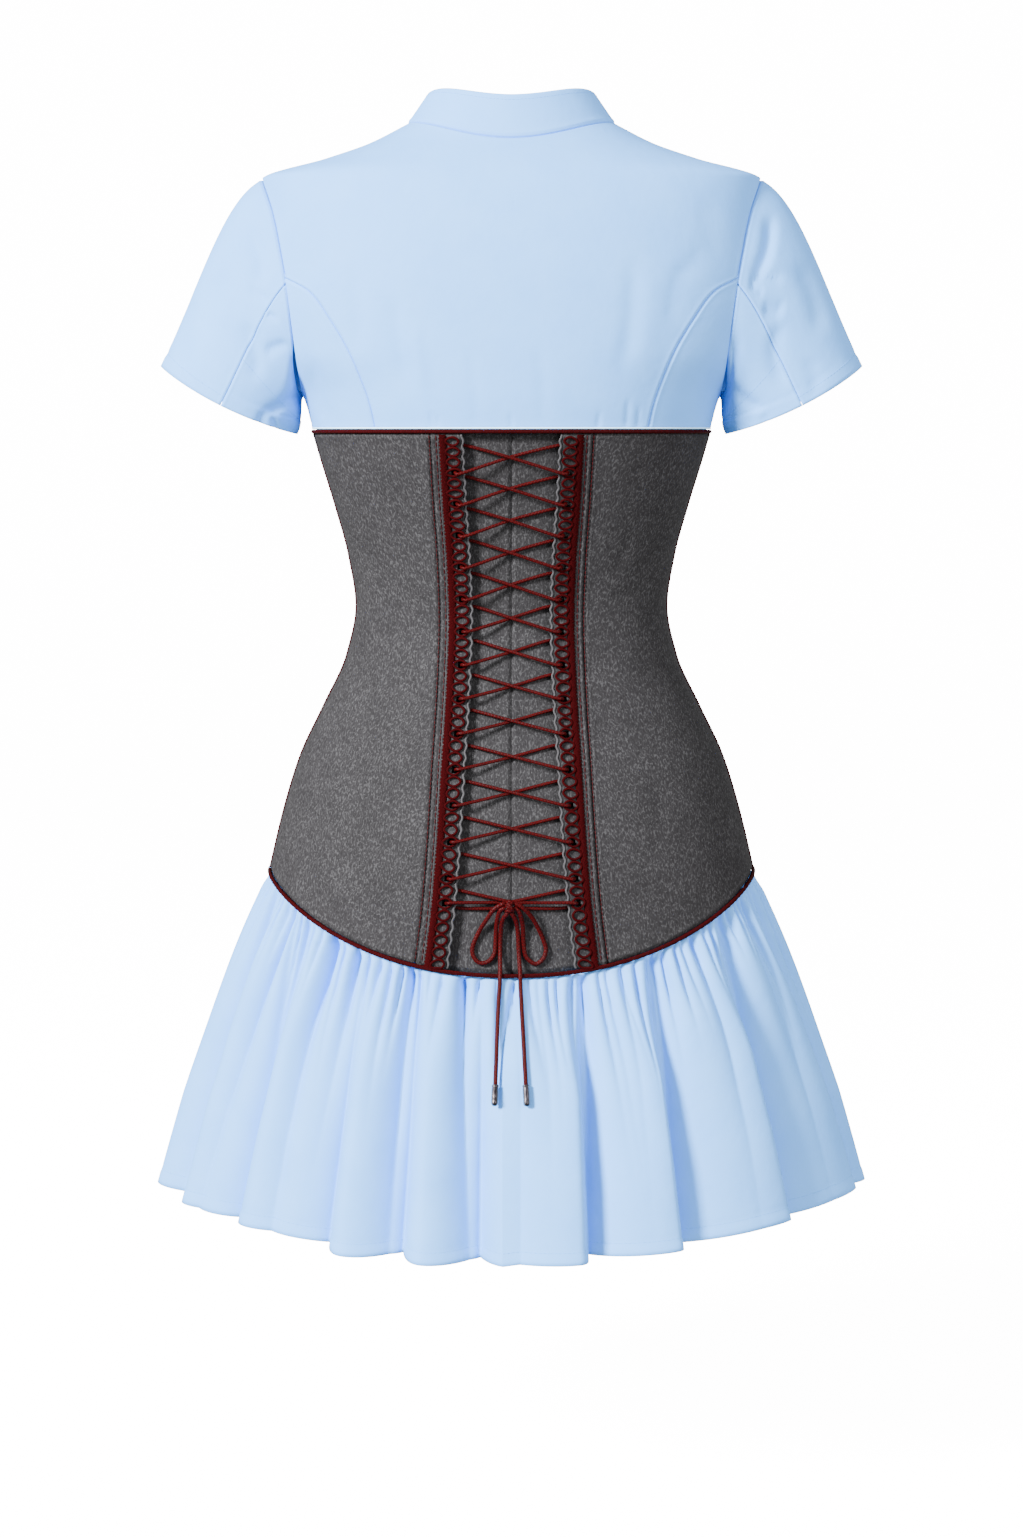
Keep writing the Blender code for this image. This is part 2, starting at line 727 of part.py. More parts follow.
def build_loop_tapes():
    """The braid tapes whose loops carry the lace; those that the lace passes are open."""
    orders = range(-LOOPS_PER_CROSSING, (CROSSINGS + 1) * LOOPS_PER_CROSSING + 2)
    carriers = {loop_of(crossing) for crossing in range(CROSSINGS + 1)}
    half_hole = LOOP_HOLE_HEIGHT / 2
    for side, name in ((1, "right"), (-1, "left")):
        points, faces = [], []

        def place(height, inward):
            points.append(tape_point(side, height, inward, TAPE_LIFT))
            return len(points) - 1

        def half_way(order):
            return (loop_height(order) + loop_height(order - 1)) / 2

        above = (place(half_way(orders[0]), TAPE_WIDTH), place(half_way(orders[0]), LOOP_VALLEY))
        for order in orders:
            middle = loop_height(order)
            low = half_way(order + 1)
            tip = place(middle, 0.0)
            edge, valley = place(low, TAPE_WIDTH), place(low, LOOP_VALLEY)
            if order in carriers:
                near = place(middle, LOOP_HOLE_CENTRE - LOOP_HOLE_LENGTH / 2)
                far = place(middle, LOOP_HOLE_CENTRE + LOOP_HOLE_LENGTH / 2)
                upper = place(middle + half_hole, LOOP_HOLE_CENTRE)
                lower = place(middle - half_hole, LOOP_HOLE_CENTRE)
                made = [
                    (above[1], upper, far, above[0]),
                    (above[0], far, edge),
                    (edge, far, lower, valley),
                    (valley, lower, near, tip),
                    (tip, near, upper, above[1]),
                ]
            else:
                made = [(above[0], above[1], valley, edge), (above[1], tip, valley)]
            faces += [face if side > 0 else face[::-1] for face in made]
            above = (edge, valley)
        add_wall(f"loop_tape_{name}", points, faces, "trim", TAPE_WALL, outwards=True)


def add_ring_piping(name, height_at, count):
    """Piping sewn in a seam that runs all round the body."""
    points = []
    for turn in spread(0, 360, count + 1)[:-1]:
        signed = turn if turn <= 180 else turn - 360
        points.append(body_point(signed, height_at(signed), PIPING_LIFT))
    add_cord(name, points, PIPING_RADIUS, resolution=0, closed=True)


def build_piping():
    """Piping along the corset's top, bottom and side seams."""
    add_ring_piping("piping_top", lambda turn: CORSET_TOP, 48)
    add_ring_piping("piping_bottom", corset_bottom, 64)
    top = CORSET_TOP - EDGE_CLEARANCE
    bottom = CORSET_BOTTOM_SIDE + EDGE_CLEARANCE
    for side, name in ((1, "right"), (-1, "left")):
        points = [body_point(90.0 * side, height, PIPING_LIFT) for height in spread(top, bottom, 14)]
        add_cord(f"piping_side_{name}", points, SIDE_PIPING_RADIUS, resolution=0)


def lace_point(across, height, lift):
    """A point of the lacing, lifted this far from the body's surface."""
    return body_point(turn_of(across, height), height, lift)


UNDER_LIFT = -RECESS + UNDER_CLEARANCE + CORD_RADIUS
CROSS_LIFT = UNDER_LIFT + 2 * CORD_RADIUS + 2 * TOUCH
OVER_LIFT = TAPE_LIFT + TAPE_WALL + TOUCH + CORD_RADIUS


def lace_route(first_side):
    """One lace from the top to the knot: under an edge, across, over a loop and through its slit."""
    route = []
    side = first_side
    for order in range(CROSSINGS + 1):
        middle = crossing_height(order)
        start, end = middle + UNDER_RISE, loop_height(loop_of(order))
        tip_start, tip_end = seam_across(LOOP_TIPS, start), seam_across(LOOP_TIPS, end)
        on_top = (order % 2 == 0) == (first_side < 0)
        centre_lift = CROSS_LIFT if on_top else UNDER_LIFT
        route += [
            lace_point(side * (tip_start + 0.0020), start, UNDER_LIFT),
            lace_point(side * (tip_start - 0.0060), start - 0.0012, UNDER_LIFT),
            lace_point(0.0, middle, centre_lift),
        ]
        side = -side
        if order == CROSSINGS:
            route.append(lace_point(side * 0.0140, (middle + end) / 2, centre_lift))
        hole = tip_end + LOOP_HOLE_CENTRE
        route += [
            lace_point(side * (tip_end - 0.0015), end + 0.0006, OVER_LIFT),
            lace_point(side * (hole - 0.0012), end, OVER_LIFT - 0.0002),
            lace_point(side * hole, end, -0.0010),
            lace_point(side * (hole - 0.0022), end - 0.0008, UNDER_LIFT),
        ]
    tip = seam_across(LOOP_TIPS, KNOT_HEIGHT)
    reach = KNOT_SIZE.x / 2 + TOUCH + CORD_RADIUS / 2
    return route + [
        lace_point(side * (tip - 0.0040), KNOT_HEIGHT - 0.0022, UNDER_LIFT),
        lace_point(side * 0.0140, KNOT_HEIGHT - 0.0024, UNDER_LIFT + 0.0004),
        lace_point(KNOT_ACROSS + side * reach, KNOT_HEIGHT - 0.0010, KNOT_LIFT - 0.0036),
    ]


# Bow loops and free ends: places from the knot's centre, and the lift from the surface
BowRow = namedtuple("BowRow", "across rise lift")
LEFT_LOOP = [
    BowRow(-0.0041, 0.0018, 0.0036),
    BowRow(-0.0110, -0.0022, 0.0034),
    BowRow(-0.0166, -0.0101, 0.0004),
    BowRow(-0.0220, -0.0185, -0.0030),
    BowRow(-0.0269, -0.0292, -0.0040),
    BowRow(-0.0273, -0.0363, -0.0040),
    BowRow(-0.0241, -0.0414, -0.0040),
    BowRow(-0.0201, -0.0429, -0.0040),
    BowRow(-0.0152, -0.0412, -0.0040),
    BowRow(-0.0114, -0.0363, -0.0040),
    BowRow(-0.0104, -0.0299, -0.0040),
    BowRow(-0.0100, -0.0200, -0.0028),
    BowRow(-0.0090, -0.0101, 0.0008),
    BowRow(-0.0068, -0.0036, 0.0032),
    BowRow(-0.0041, -0.0016, 0.0036),
]
RIGHT_LOOP = [
    BowRow(0.0041, 0.0018, 0.0036),
    BowRow(0.0096, -0.0012, 0.0036),
    BowRow(0.0165, -0.0087, 0.0006),
    BowRow(0.0220, -0.0185, -0.0030),
    BowRow(0.0261, -0.0284, -0.0040),
    BowRow(0.0269, -0.0340, -0.0040),
    BowRow(0.0248, -0.0398, -0.0040),
    BowRow(0.0199, -0.0433, -0.0040),
    BowRow(0.0151, -0.0412, -0.0040),
    BowRow(0.0116, -0.0363, -0.0040),
    BowRow(0.0103, -0.0270, -0.0038),
    BowRow(0.0099, -0.0163, -0.0018),
    BowRow(0.0083, -0.0079, 0.0016),
    BowRow(0.0062, -0.0034, 0.0034),
    BowRow(0.0041, -0.0016, 0.0036),
]
EndRow = namedtuple("EndRow", "height left right lift")
FREE_ENDS = [
    EndRow(-0.5800, -0.0031, 0.0001, 0.0034),
    EndRow(-0.5850, -0.0066, 0.0030, 0.0008),
    EndRow(-0.5940, -0.0080, 0.0047, -0.0026),
    EndRow(-0.6080, -0.0084, 0.0053, -0.0034),
    EndRow(-0.6180, -0.0083, 0.0060, -0.0006),
    EndRow(-0.6262, -0.0084, 0.0064, 0.0030),
    EndRow(-0.6320, -0.0087, 0.0065, 0.0026),
    EndRow(-0.6440, -0.0095, 0.0072, 0.0020),
    EndRow(-0.6640, -0.0104, 0.0084, 0.0020),
    EndRow(-0.6840, -0.0111, 0.0095, 0.0020),
    EndRow(-0.6993, -0.0117, 0.0104, 0.0022),
]


def bow_points(rows):
    """The smooth route of a bow loop."""
    marks = [
        lace_point(KNOT_ACROSS + row.across, KNOT_HEIGHT + row.rise, row.lift) for row in rows
    ]
    return smooth_path(marks, 1)


def free_end_points(side):
    """The route of a free end: over the corset's edge, then down the skirt."""
    points = []
    for row in FREE_ENDS:
        across = getattr(row, side)
        if row.height > corset_bottom(0):
            points.append(lace_point(across, row.height, row.lift))
        else:
            points.append(skirt_place(across, row.height, row.lift))
    return points


def build_lacing():
    """Both laces, the knot, the bow and the free ends with their metal tips."""
    add_cord("lace_first", lace_route(-1), CORD_RADIUS)
    add_cord("lace_second", lace_route(1), CORD_RADIUS)
    add_cord("bow_loop_left", bow_points(LEFT_LOOP), CORD_RADIUS)
    add_cord("bow_loop_right", bow_points(RIGHT_LOOP), CORD_RADIUS)

    mesh = bpy.data.meshes.new("bow_knot")
    shape = bmesh.new()
    bmesh.ops.create_uvsphere(shape, u_segments=12, v_segments=8, radius=0.5)
    centre = lace_point(KNOT_ACROSS, KNOT_HEIGHT, KNOT_LIFT)
    for vertex in shape.verts:
        vertex.co = centre + Vector(a * b for a, b in zip(vertex.co, KNOT_SIZE))
    shape.to_mesh(mesh)
    shape.free()
    mesh.shade_smooth()
    add_object("bow_knot", mesh, "trim")

    for side in ("left", "right"):
        points = free_end_points(side)
        add_cord(f"lace_end_{side}", points, CORD_RADIUS)
        hang = (points[-1] - points[-2]).normalized()
        top = points[-1] + hang * TOUCH
        mesh = bpy.data.meshes.new(f"aglet_{side}")
        shape = bmesh.new()
        bmesh.ops.create_cone(
            shape,
            cap_ends=True,
            segments=AGLET_SIDES,
            radius1=AGLET_RADIUS,
            radius2=AGLET_RADIUS,
            depth=AGLET_LENGTH,
        )
        turned = hang.to_track_quat("-Z", "Y")
        for vertex in shape.verts:
            vertex.co = top + hang * (AGLET_LENGTH / 2) + turned @ vertex.co
        shape.to_mesh(mesh)
        shape.free()
        add_object(f"aglet_{side}", mesh, "metal")


def fold_at(turn):
    """How far the large folds stand out at a turn, and how much lower the hem hangs there."""
    turn = (turn + 90) % 360 - 90
    for fold, following in zip(FOLDS, FOLDS[1:]):
        if fold.start <= turn <= following.start:
            swing = math.pi * (turn - fold.start) / (following.start - fold.start)
            rise = max(0.0, math.sin(swing)) ** 0.75
            return (fold.crest + VALLEY_DEPTH) * rise - VALLEY_DEPTH, fold.drop * rise
    return -VALLEY_DEPTH, 0.0


def skirt_top(turn):
    """The skirt's upper edge at a turn."""
    return corset_bottom(turn) - EDGE_CLEARANCE


def skirt_point(turn, share, gather=0.0):
    """A point of the skirt: share from the upper edge to the hem; gather from -1 to 1."""
    share = max(0.0, share)
    height = skirt_top(turn)
    start = on_ring(turn, height)
    sine, cosine = math.sin(math.radians(turn)), math.cos(math.radians(turn))
    depth = HEM_BACK if cosine > 0 else HEM_FRONT
    fold, drop = fold_at(turn)
    hem_height = HEM_SIDE_HEIGHT - HEM_DIP * cosine**2 - drop
    hem = Vector((HEM_HALF_WIDTH * sine, -depth * cosine, hem_height))
    flare = share + FLARE_BULGE * math.sin(math.pi * share)
    point = start.lerp(hem, flare)
    point.z = start.z + (hem.z - start.z) * share
    outward = Vector((sine / HEM_HALF_WIDTH, -cosine / depth, 0)).normalized()
    large = fold * min(1.0, share / 0.9) ** 0.8
    small = GATHER_DEPTH * min(1.0, 0.45 + share / 0.12) * max(0.0, 1 - share / 0.55) * gather
    return point + outward * (large + small)


def skirt_place(across, height, lift):
    """A point lifted off the skirt's back, near the centre, by its distance across and its height."""
    top, hem = skirt_top(0), HEM_SIDE_HEIGHT - HEM_DIP
    share = min(1.0, max(0.0, (top - height) / (top - hem)))
    turn = 0.0
    for _ in range(12):
        turn += (across - skirt_point(turn, share, 1.0).x) / 0.0035
    place = skirt_point(turn, share, 1.0)
    around = skirt_point(turn + 1, share, 1.0) - skirt_point(turn - 1, share, 1.0)
    upward = skirt_point(turn, share - 0.02, 1.0) - skirt_point(turn, share + 0.02, 1.0)
    return place + around.cross(upward).normalized() * lift


def skirt_columns(low, high):
    """(turn, gather) for each column between two side seams: a crease, then a rounded top."""
    columns = []
    for start, end in zip((fold.start for fold in FOLDS), (fold.start for fold in FOLDS[1:])):
        if start < low or end > high:
            continue
        gathers = max(2, round((end - start) / GATHER_TURN))
        for i in range(gathers * GATHER_COLUMNS):
            turn = start + (end - start) * i / (gathers * GATHER_COLUMNS)
            columns.append((turn, -1.0 if i % GATHER_COLUMNS == 0 else 1.0))
    columns.append((high, -1.0))
    gap = math.degrees(SEAM_GAP / 2 / 0.15)
    columns[0] = (low + gap, -1.0)
    columns[-1] = (high - gap, -1.0)
    return columns


def build_skirt():
    """The gathered skirt, cut as a back and a front, sewn at the sides."""
    for name, low, high in (("skirt_back", -90.0, 90.0), ("skirt_front", 90.0, 270.0)):
        columns = skirt_columns(low, high)
        rows = [
            [skirt_point(turn, share, gather) for turn, gather in columns]
            for share in SKIRT_ROWS[::-1]
        ]
        add_panel(name, rows, "poplin", POPLIN)


def build_closure():
    """The shirt's button stand and its buttons, down the centre front."""
    rows = []
    for height in spread(BODICE_BOTTOM, SHIRT_PLACKET_TOP, 9):
        row = []
        for across in spread(SHIRT_PLACKET_HALF_WIDTH, -SHIRT_PLACKET_HALF_WIDTH, 5):
            turn = turn_of(across, height, front=True) if across else 180.0
            row.append(body_point(turn, height, TOUCH + SEAM_GAP))
        rows.append(row)
    add_panel("shirt_placket", rows, "poplin", SHIRT_PLACKET_WALL, outwards=True)
    for number, height in enumerate(BUTTON_HEIGHTS, 1):
        face = TOUCH + SEAM_GAP + SHIRT_PLACKET_WALL + TOUCH
        centre = body_point(180.0, height, face + BUTTON_WALL / 2 + TOUCH)
        outward = (centre - body_point(180.0, height)).normalized()
        turned = outward.to_track_quat("Z", "Y")
        mesh = bpy.data.meshes.new(f"button_{number}")
        shape = bmesh.new()
        bmesh.ops.create_cone(
            shape,
            cap_ends=True,
            segments=16,
            radius1=BUTTON_RADIUS,
            radius2=BUTTON_RADIUS * 0.9,
            depth=BUTTON_WALL,
        )
        for vertex in shape.verts:
            vertex.co = centre + turned @ vertex.co
        shape.to_mesh(mesh)
        shape.free()
        add_object(f"button_{number}", mesh, "button")


for old in list(bpy.data.objects):
    bpy.data.objects.remove(old)
COLLECTION = bpy.data.collections.new("corset_dress")
bpy.context.scene.collection.children.link(COLLECTION)
MATERIALS = {name: new_material(name) for name in COLOURS}

build_bodice()
build_collar()
build_sleeves()
build_corset()
build_loop_tapes()
build_piping()
build_lacing()
build_skirt()
build_closure()
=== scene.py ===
"""Corset dress, dressed for rendering: poplin shirt bodice, laced denim corset, gathered skirt.

Metres, +Z up. The laced back faces -Y and +X is the wearer's right. A place on the body is a
turn, in degrees from the centre back (0) over the right side (90) to the centre front (180),
and a height.
"""

import logging
import math
from dataclasses import dataclass, field
from enum import Enum
from typing import Callable, NamedTuple, Sequence

import bpy
import numpy as np
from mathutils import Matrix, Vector


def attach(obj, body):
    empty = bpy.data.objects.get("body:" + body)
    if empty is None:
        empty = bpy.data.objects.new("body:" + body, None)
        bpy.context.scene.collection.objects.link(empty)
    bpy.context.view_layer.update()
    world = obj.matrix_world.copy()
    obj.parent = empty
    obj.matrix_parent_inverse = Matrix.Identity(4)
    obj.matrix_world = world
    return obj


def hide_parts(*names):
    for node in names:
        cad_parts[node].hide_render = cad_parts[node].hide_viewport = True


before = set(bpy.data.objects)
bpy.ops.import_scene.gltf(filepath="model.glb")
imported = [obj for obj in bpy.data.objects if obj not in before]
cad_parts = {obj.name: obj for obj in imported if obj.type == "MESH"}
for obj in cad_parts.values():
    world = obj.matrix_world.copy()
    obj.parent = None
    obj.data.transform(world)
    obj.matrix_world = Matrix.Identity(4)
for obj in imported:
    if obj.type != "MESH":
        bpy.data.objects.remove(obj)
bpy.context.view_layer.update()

Array = np.ndarray
Link = bpy.types.NodeSocket
Value = Link | float | tuple
LOG = logging.getLogger("corset_dress")
BODY_NAME = "root"

# Sizes that the solids have too
SQUARENESS = 2.2
SEAM_GAP = 0.0004
TOUCH = 0.0003
PIPING_RADIUS = 0.0013
CORD_RADIUS = 0.00125
EDGE_CLEARANCE = PIPING_RADIUS + SEAM_GAP
UNDERARM_HEIGHT = -0.2016
CORSET_TOP = -0.2290
CORSET_BOTTOM_SIDE = -0.5642
CORSET_DIP = 0.0620
BODICE_BOTTOM = CORSET_TOP + EDGE_CLEARANCE
PRINCESS_TOP = -0.1165


class SeamRow(NamedTuple):
    """A seam's distance from the centre line at a height."""

    height: float
    across: float


# Height, half width, depth to the back, depth to the front
BODY = [
    (0.0000, 0.0780, 0.050, 0.050),
    (-0.0151, 0.1082, 0.062, 0.058),
    (-0.0262, 0.1405, 0.072, 0.063),
    (-0.0410, 0.1875, 0.083, 0.069),
    (-0.0620, 0.1890, 0.092, 0.077),
    (-0.0900, 0.1905, 0.099, 0.090),
    (-0.1240, 0.1905, 0.104, 0.104),
    (-0.1700, 0.1790, 0.106, 0.118),
    (-0.2016, 0.1582, 0.105, 0.125),
    (-0.2290, 0.1500, 0.101, 0.127),
    (-0.2500, 0.1440, 0.096, 0.124),
    (-0.2850, 0.1334, 0.087, 0.111),
    (-0.3230, 0.1233, 0.079, 0.097),
    (-0.3610, 0.1179, 0.075, 0.089),
    (-0.3990, 0.1254, 0.079, 0.089),
    (-0.4380, 0.1433, 0.089, 0.094),
    (-0.4760, 0.1613, 0.101, 0.100),
    (-0.5150, 0.1737, 0.111, 0.106),
    (-0.5540, 0.1834, 0.118, 0.110),
    (-0.5970, 0.1930, 0.122, 0.113),
    (-0.6400, 0.1990, 0.124, 0.115),
]
SHOULDER_TIP = SeamRow(-0.0410, 0.1875)
ARMHOLE = [
    SHOULDER_TIP,
    SeamRow(-0.0700, 0.1770),
    SeamRow(-0.0957, 0.1713),
    SeamRow(-0.1252, 0.1660),
    SeamRow(-0.1700, 0.1608),
    SeamRow(-0.1850, 0.1595),
    SeamRow(UNDERARM_HEIGHT, 0.1582),
]
PRINCESS = [
    SeamRow(PRINCESS_TOP, 0.1675),
    SeamRow(-0.1270, 0.1488),
    SeamRow(-0.1462, 0.1341),
    SeamRow(-0.1702, 0.1197),
    SeamRow(-0.1897, 0.1111),
    SeamRow(-0.2099, 0.1040),
    SeamRow(-0.2290, 0.0998),
]
FRONT_SEAM = [
    SeamRow(-0.2290, 0.0998),
    SeamRow(-0.3610, 0.0620),
    SeamRow(-0.4760, 0.0800),
    SeamRow(-0.6400, 0.0950),
]
LOOP_TIPS = [
    SeamRow(-0.2290, 0.0375),
    SeamRow(-0.2790, 0.0350),
    SeamRow(-0.3230, 0.0322),
    SeamRow(-0.3670, 0.0308),
    SeamRow(-0.4110, 0.0322),
    SeamRow(-0.4410, 0.0338),
    SeamRow(-0.4710, 0.0358),
    SeamRow(-0.5320, 0.0395),
    SeamRow(-0.5780, 0.0434),
    SeamRow(-0.6230, 0.0490),
]


class Side(Enum):
    """The wearer's side, as the sign of X."""

    RIGHT = 1
    LEFT = -1

    @property
    def label(self) -> str:
        """The side's word in the nodes' names."""
        return self.name.lower()


class Facing(Enum):
    """Which way a piece of the body's surface looks, as the sign of Y."""

    BACK = -1
    FRONT = 1


# ---------------------------------------------------------------- curves and the body's form


def eased(places: Sequence[float], values: Sequence[float], place: Array) -> Array:
    """Values from a table whose places fall or rise, with no overshoot between its rows.

    Args:
        places: The table's places.
        values: Its values.
        place: Where values are wanted.

    Returns:
        One value for each place.
    """
    known, given = np.asarray(places, float), np.asarray(values, float)
    if known[0] > known[-1]:
        known, given = known[::-1], given[::-1]
    where = np.clip(place, known[0], known[-1])
    steps = np.diff(known)
    slopes = np.diff(given) / steps
    before, after = slopes[:-1], slopes[1:]
    total = np.where(before + after == 0, 1.0, before + after)
    inner = np.where(before * after > 0, 2 * before * after / total, 0.0)
    tangents = np.concatenate([slopes[:1], inner, slopes[-1:]])
    i = np.clip(np.searchsorted(known, where, side="right") - 1, 0, len(known) - 2)
    t = (where - known[i]) / steps[i]
    return (
        given[i] * (1 + 2 * t) * (1 - t) ** 2
        + tangents[i] * steps[i] * t * (1 - t) ** 2
        + given[i + 1] * t * t * (3 - 2 * t)
        + tangents[i + 1] * steps[i] * t * t * (t - 1)
    )


def across_of(rows: Sequence[SeamRow], height: Array) -> Array:
    """A seam's distance from the centre line at some heights."""
    return eased([r.height for r in rows], [r.across for r in rows], height)


def smoothstep(low: float, high: float, value: Array) -> Array:
    """0 below low, 1 above high, smooth between."""
    t = np.clip((np.asarray(value, float) - low) / (high - low), 0.0, 1.0)
    return t * t * (3 - 2 * t)


def section(height: Array) -> tuple[Array, Array, Array]:
    """Half width, back depth and front depth of the body at some heights."""
    heights = [row[0] for row in BODY]
    return tuple(eased(heights, [row[i] for row in BODY], height) for i in (1, 2, 3))


def on_ring(turn: Array, height: Array) -> Array:
    """Points of the body's outer surface."""
    turn, height = np.broadcast_arrays(np.asarray(turn, float), np.asarray(height, float))
    half_width, back, front = section(height)
    sine, cosine = np.sin(np.radians(turn)), np.cos(np.radians(turn))
    depth = np.where(cosine > 0, back, front)
    power = 2 / SQUARENESS
    across = half_width * np.copysign(np.abs(sine) ** power, sine)
    along = -depth * np.copysign(np.abs(cosine) ** power, cosine)
    return np.stack([across, along, height], axis=-1)


def unit(vectors: Array) -> Array:
    """Vectors scaled to length one."""
    return vectors / np.maximum(np.linalg.norm(vectors, axis=-1, keepdims=True), 1e-12)


def body_point(turn: Array, height: Array, out: Array | float = 0.0) -> Array:
    """Points of the body's surface, moved out along its normals.

    Args:
        turn: Degrees from the centre back.
        height: Heights.
        out: How far outwards, one value or one for each point.

    Returns:
        The points, on a last axis of three.
    """
    turn, height = np.broadcast_arrays(np.asarray(turn, float), np.asarray(height, float))
    around = on_ring(turn + 0.5, height) - on_ring(turn - 0.5, height)
    upward = on_ring(turn, height + 0.002) - on_ring(turn, height - 0.002)
    normal = unit(np.cross(around, upward))
    return on_ring(turn, height) + normal * np.asarray(out, float)[..., None]


def turn_of(across: Array, height: Array, front: bool = False) -> Array:
    """The turn at which the body lies this far from the centre line at a height."""
    across = np.asarray(across, float)
    share = np.minimum(1.0, np.abs(across) / section(height)[0])
    turn = np.degrees(np.arcsin(share ** (SQUARENESS / 2)))
    turn = 180 - turn if front else turn
    return np.where(across < 0, -turn, turn)


def height_over(across: Array, depth: Array) -> Array:
    """The height at which the shoulders pass over places seen from above."""
    across, depth = np.broadcast_arrays(np.asarray(across, float), np.asarray(depth, float))
    low, high = np.full(across.shape, -0.12), np.full(across.shape, 0.03)
    for _ in range(40):
        middle = (low + high) / 2
        half_width, back, front = section(middle)
        reach = np.where(depth < 0, back, front)
        shrink = 1.0 - np.maximum(0.0, middle) * 20
        share = (np.abs(across) / (half_width * shrink)) ** SQUARENESS
        share = share + (np.abs(depth) / (reach * shrink)) ** SQUARENESS
        low = np.where(share < 1, middle, low)
        high = np.where(share < 1, high, middle)
    return low


def corset_bottom(turn: Array) -> Array:
    """The height of the corset's lower edge."""
    return CORSET_BOTTOM_SIDE - CORSET_DIP * np.cos(np.radians(turn)) ** 2


def mirrored(grid: Array) -> Array:
    """A grid of the wearer's left side from that of the right, still facing outwards."""
    return grid[..., ::-1, :] * np.array([-1.0, 1.0, 1.0])


def smooth_path(marks: Array, per_span: int) -> Array:
    """A smooth run of points through marks (Catmull-Rom)."""
    marks = np.asarray(marks, float)
    ends = np.vstack([2 * marks[0] - marks[1], marks, 2 * marks[-1] - marks[-2]])
    t = (np.arange(per_span) / per_span)[:, None]
    path = []
    for before, here, there, after in zip(ends, ends[1:], ends[2:], ends[3:]):
        path.append(
            0.5
            * (
                2 * here
                + (there - before) * t
                + (2 * before - 5 * here + 4 * there - after) * t**2
                + (3 * here - before - 3 * there + after) * t**3
            )
        )
    return np.vstack([*path, marks[-1:]])


def path_length(points: Array) -> Array:
    """The distance along a path at each of its points."""
    return np.concatenate([[0.0], np.cumsum(np.linalg.norm(np.diff(points, axis=0), axis=1))])


def resampled(points: Array, step: float) -> Array:
    """A path's points again, evenly spaced."""
    along = path_length(points)
    count = max(2, round(along[-1] / step) + 1)
    wanted = np.linspace(0, along[-1], count)
    return np.stack([np.interp(wanted, along, points[:, k]) for k in range(3)], axis=1)


# ---------------------------------------------------------------- meshes


def grid_normals(grid: Array) -> Array:
    """Outward normals of a grid of rows from bottom to top, each from left to right."""
    return unit(np.cross(np.gradient(grid, axis=1), np.gradient(grid, axis=0)))


def grid_uv(grid: Array) -> Array:
    """Metre coordinates of a grid: along its middle row's way, and up each column."""
    steps = np.linalg.norm(np.diff(grid, axis=1), axis=2)
    along = np.concatenate([np.zeros((len(grid), 1)), np.cumsum(steps, axis=1)], axis=1)
    along -= along[:, [along.shape[1] // 2]]
    rises = np.linalg.norm(np.diff(grid, axis=0), axis=2)
    up = np.concatenate([np.zeros((1, grid.shape[1])), np.cumsum(rises, axis=0)], axis=0)
    return np.stack([along, up], axis=-1)


def grid_area(grid: Array) -> float:
    """The area of a grid's surface."""
    one = grid[1:, 1:] - grid[:-1, :-1]
    other = grid[1:, :-1] - grid[:-1, 1:]
    return float(np.linalg.norm(np.cross(one, other), axis=2).sum() / 2)


def new_object(name: str, mesh: bpy.types.Mesh, finish: "Finish") -> bpy.types.Object:
    """Puts a mesh in the scene with its finish, riding on the dress."""
    made = bpy.data.objects.new(name, mesh)
    bpy.context.scene.collection.objects.link(made)
    mesh.materials.append(finish.material())
    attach(made, BODY_NAME)
    return made


def mesh_of(
    name: str, points: Array, faces: Sequence[Sequence[int]], uv: Array | None = None
) -> bpy.types.Mesh:
    """A smooth-shaded mesh, with a metre UV map where one is given.

    Args:
        name: The mesh's name.
        points: Its vertices.
        faces: Its faces, as vertex numbers.
        uv: A coordinate pair for each vertex.

    Returns:
        The mesh.
    """
    mesh = bpy.data.meshes.new(name)
    mesh.from_pydata(np.asarray(points).reshape(-1, 3).tolist(), [], faces)
    mesh.shade_smooth()
    if uv is not None:
        layer = mesh.uv_layers.new(name="metres")
        index = np.empty(len(mesh.loops), dtype=np.int32)
        mesh.loops.foreach_get("vertex_index", index)
        layer.data.foreach_set("uv", np.asarray(uv).reshape(-1, 2)[index].ravel())
    return mesh


def grid_faces(rows: int, columns: int, start: int = 0, wrap: bool = False) -> list:
    """Quads of a grid; wrap joins the last column to the first."""
    r, c = np.meshgrid(
        np.arange(rows - 1), np.arange(columns if wrap else columns - 1), indexing="ij"
    )
    right = (c + 1) % columns
    quads = np.stack(
        [r * columns + c, r * columns + right, (r + 1) * columns + right, (r + 1) * columns + c],
        axis=-1,
    )
    return (quads.reshape(-1, 4) + start).tolist()


def turned_faces(rings: int, around: int) -> list[list[int]]:
    """The faces of a turned form: its sides and both ends."""
    last = (rings - 1) * around
    ends = [list(range(around))[::-1], [last + place for place in range(around)]]
    return [*grid_faces(rings, around, wrap=True), *ends]


def add_cloth(
    name: str,
    grid: Array,
    finish: "Finish",
    wall: float,
    outwards: bool = False,
) -> bpy.types.Object:
    """A thin shell of cloth from a grid of its outer face.

    Args:
        name: The piece's name.
        grid: Rows from bottom to top, each from left to right seen from outside.
        finish: The cloth's finish.
        wall: Its thickness.
        outwards: True where the grid is the inner face.

    Returns:
        The piece.
    """
    rows, columns = grid.shape[:2]
    made = new_object(name, mesh_of(name, grid, grid_faces(rows, columns), grid_uv(grid)), finish)
    solidify = made.modifiers.new("wall", "SOLIDIFY")
    solidify.thickness = wall
    solidify.offset = 1.0 if outwards else -1.0
    return made


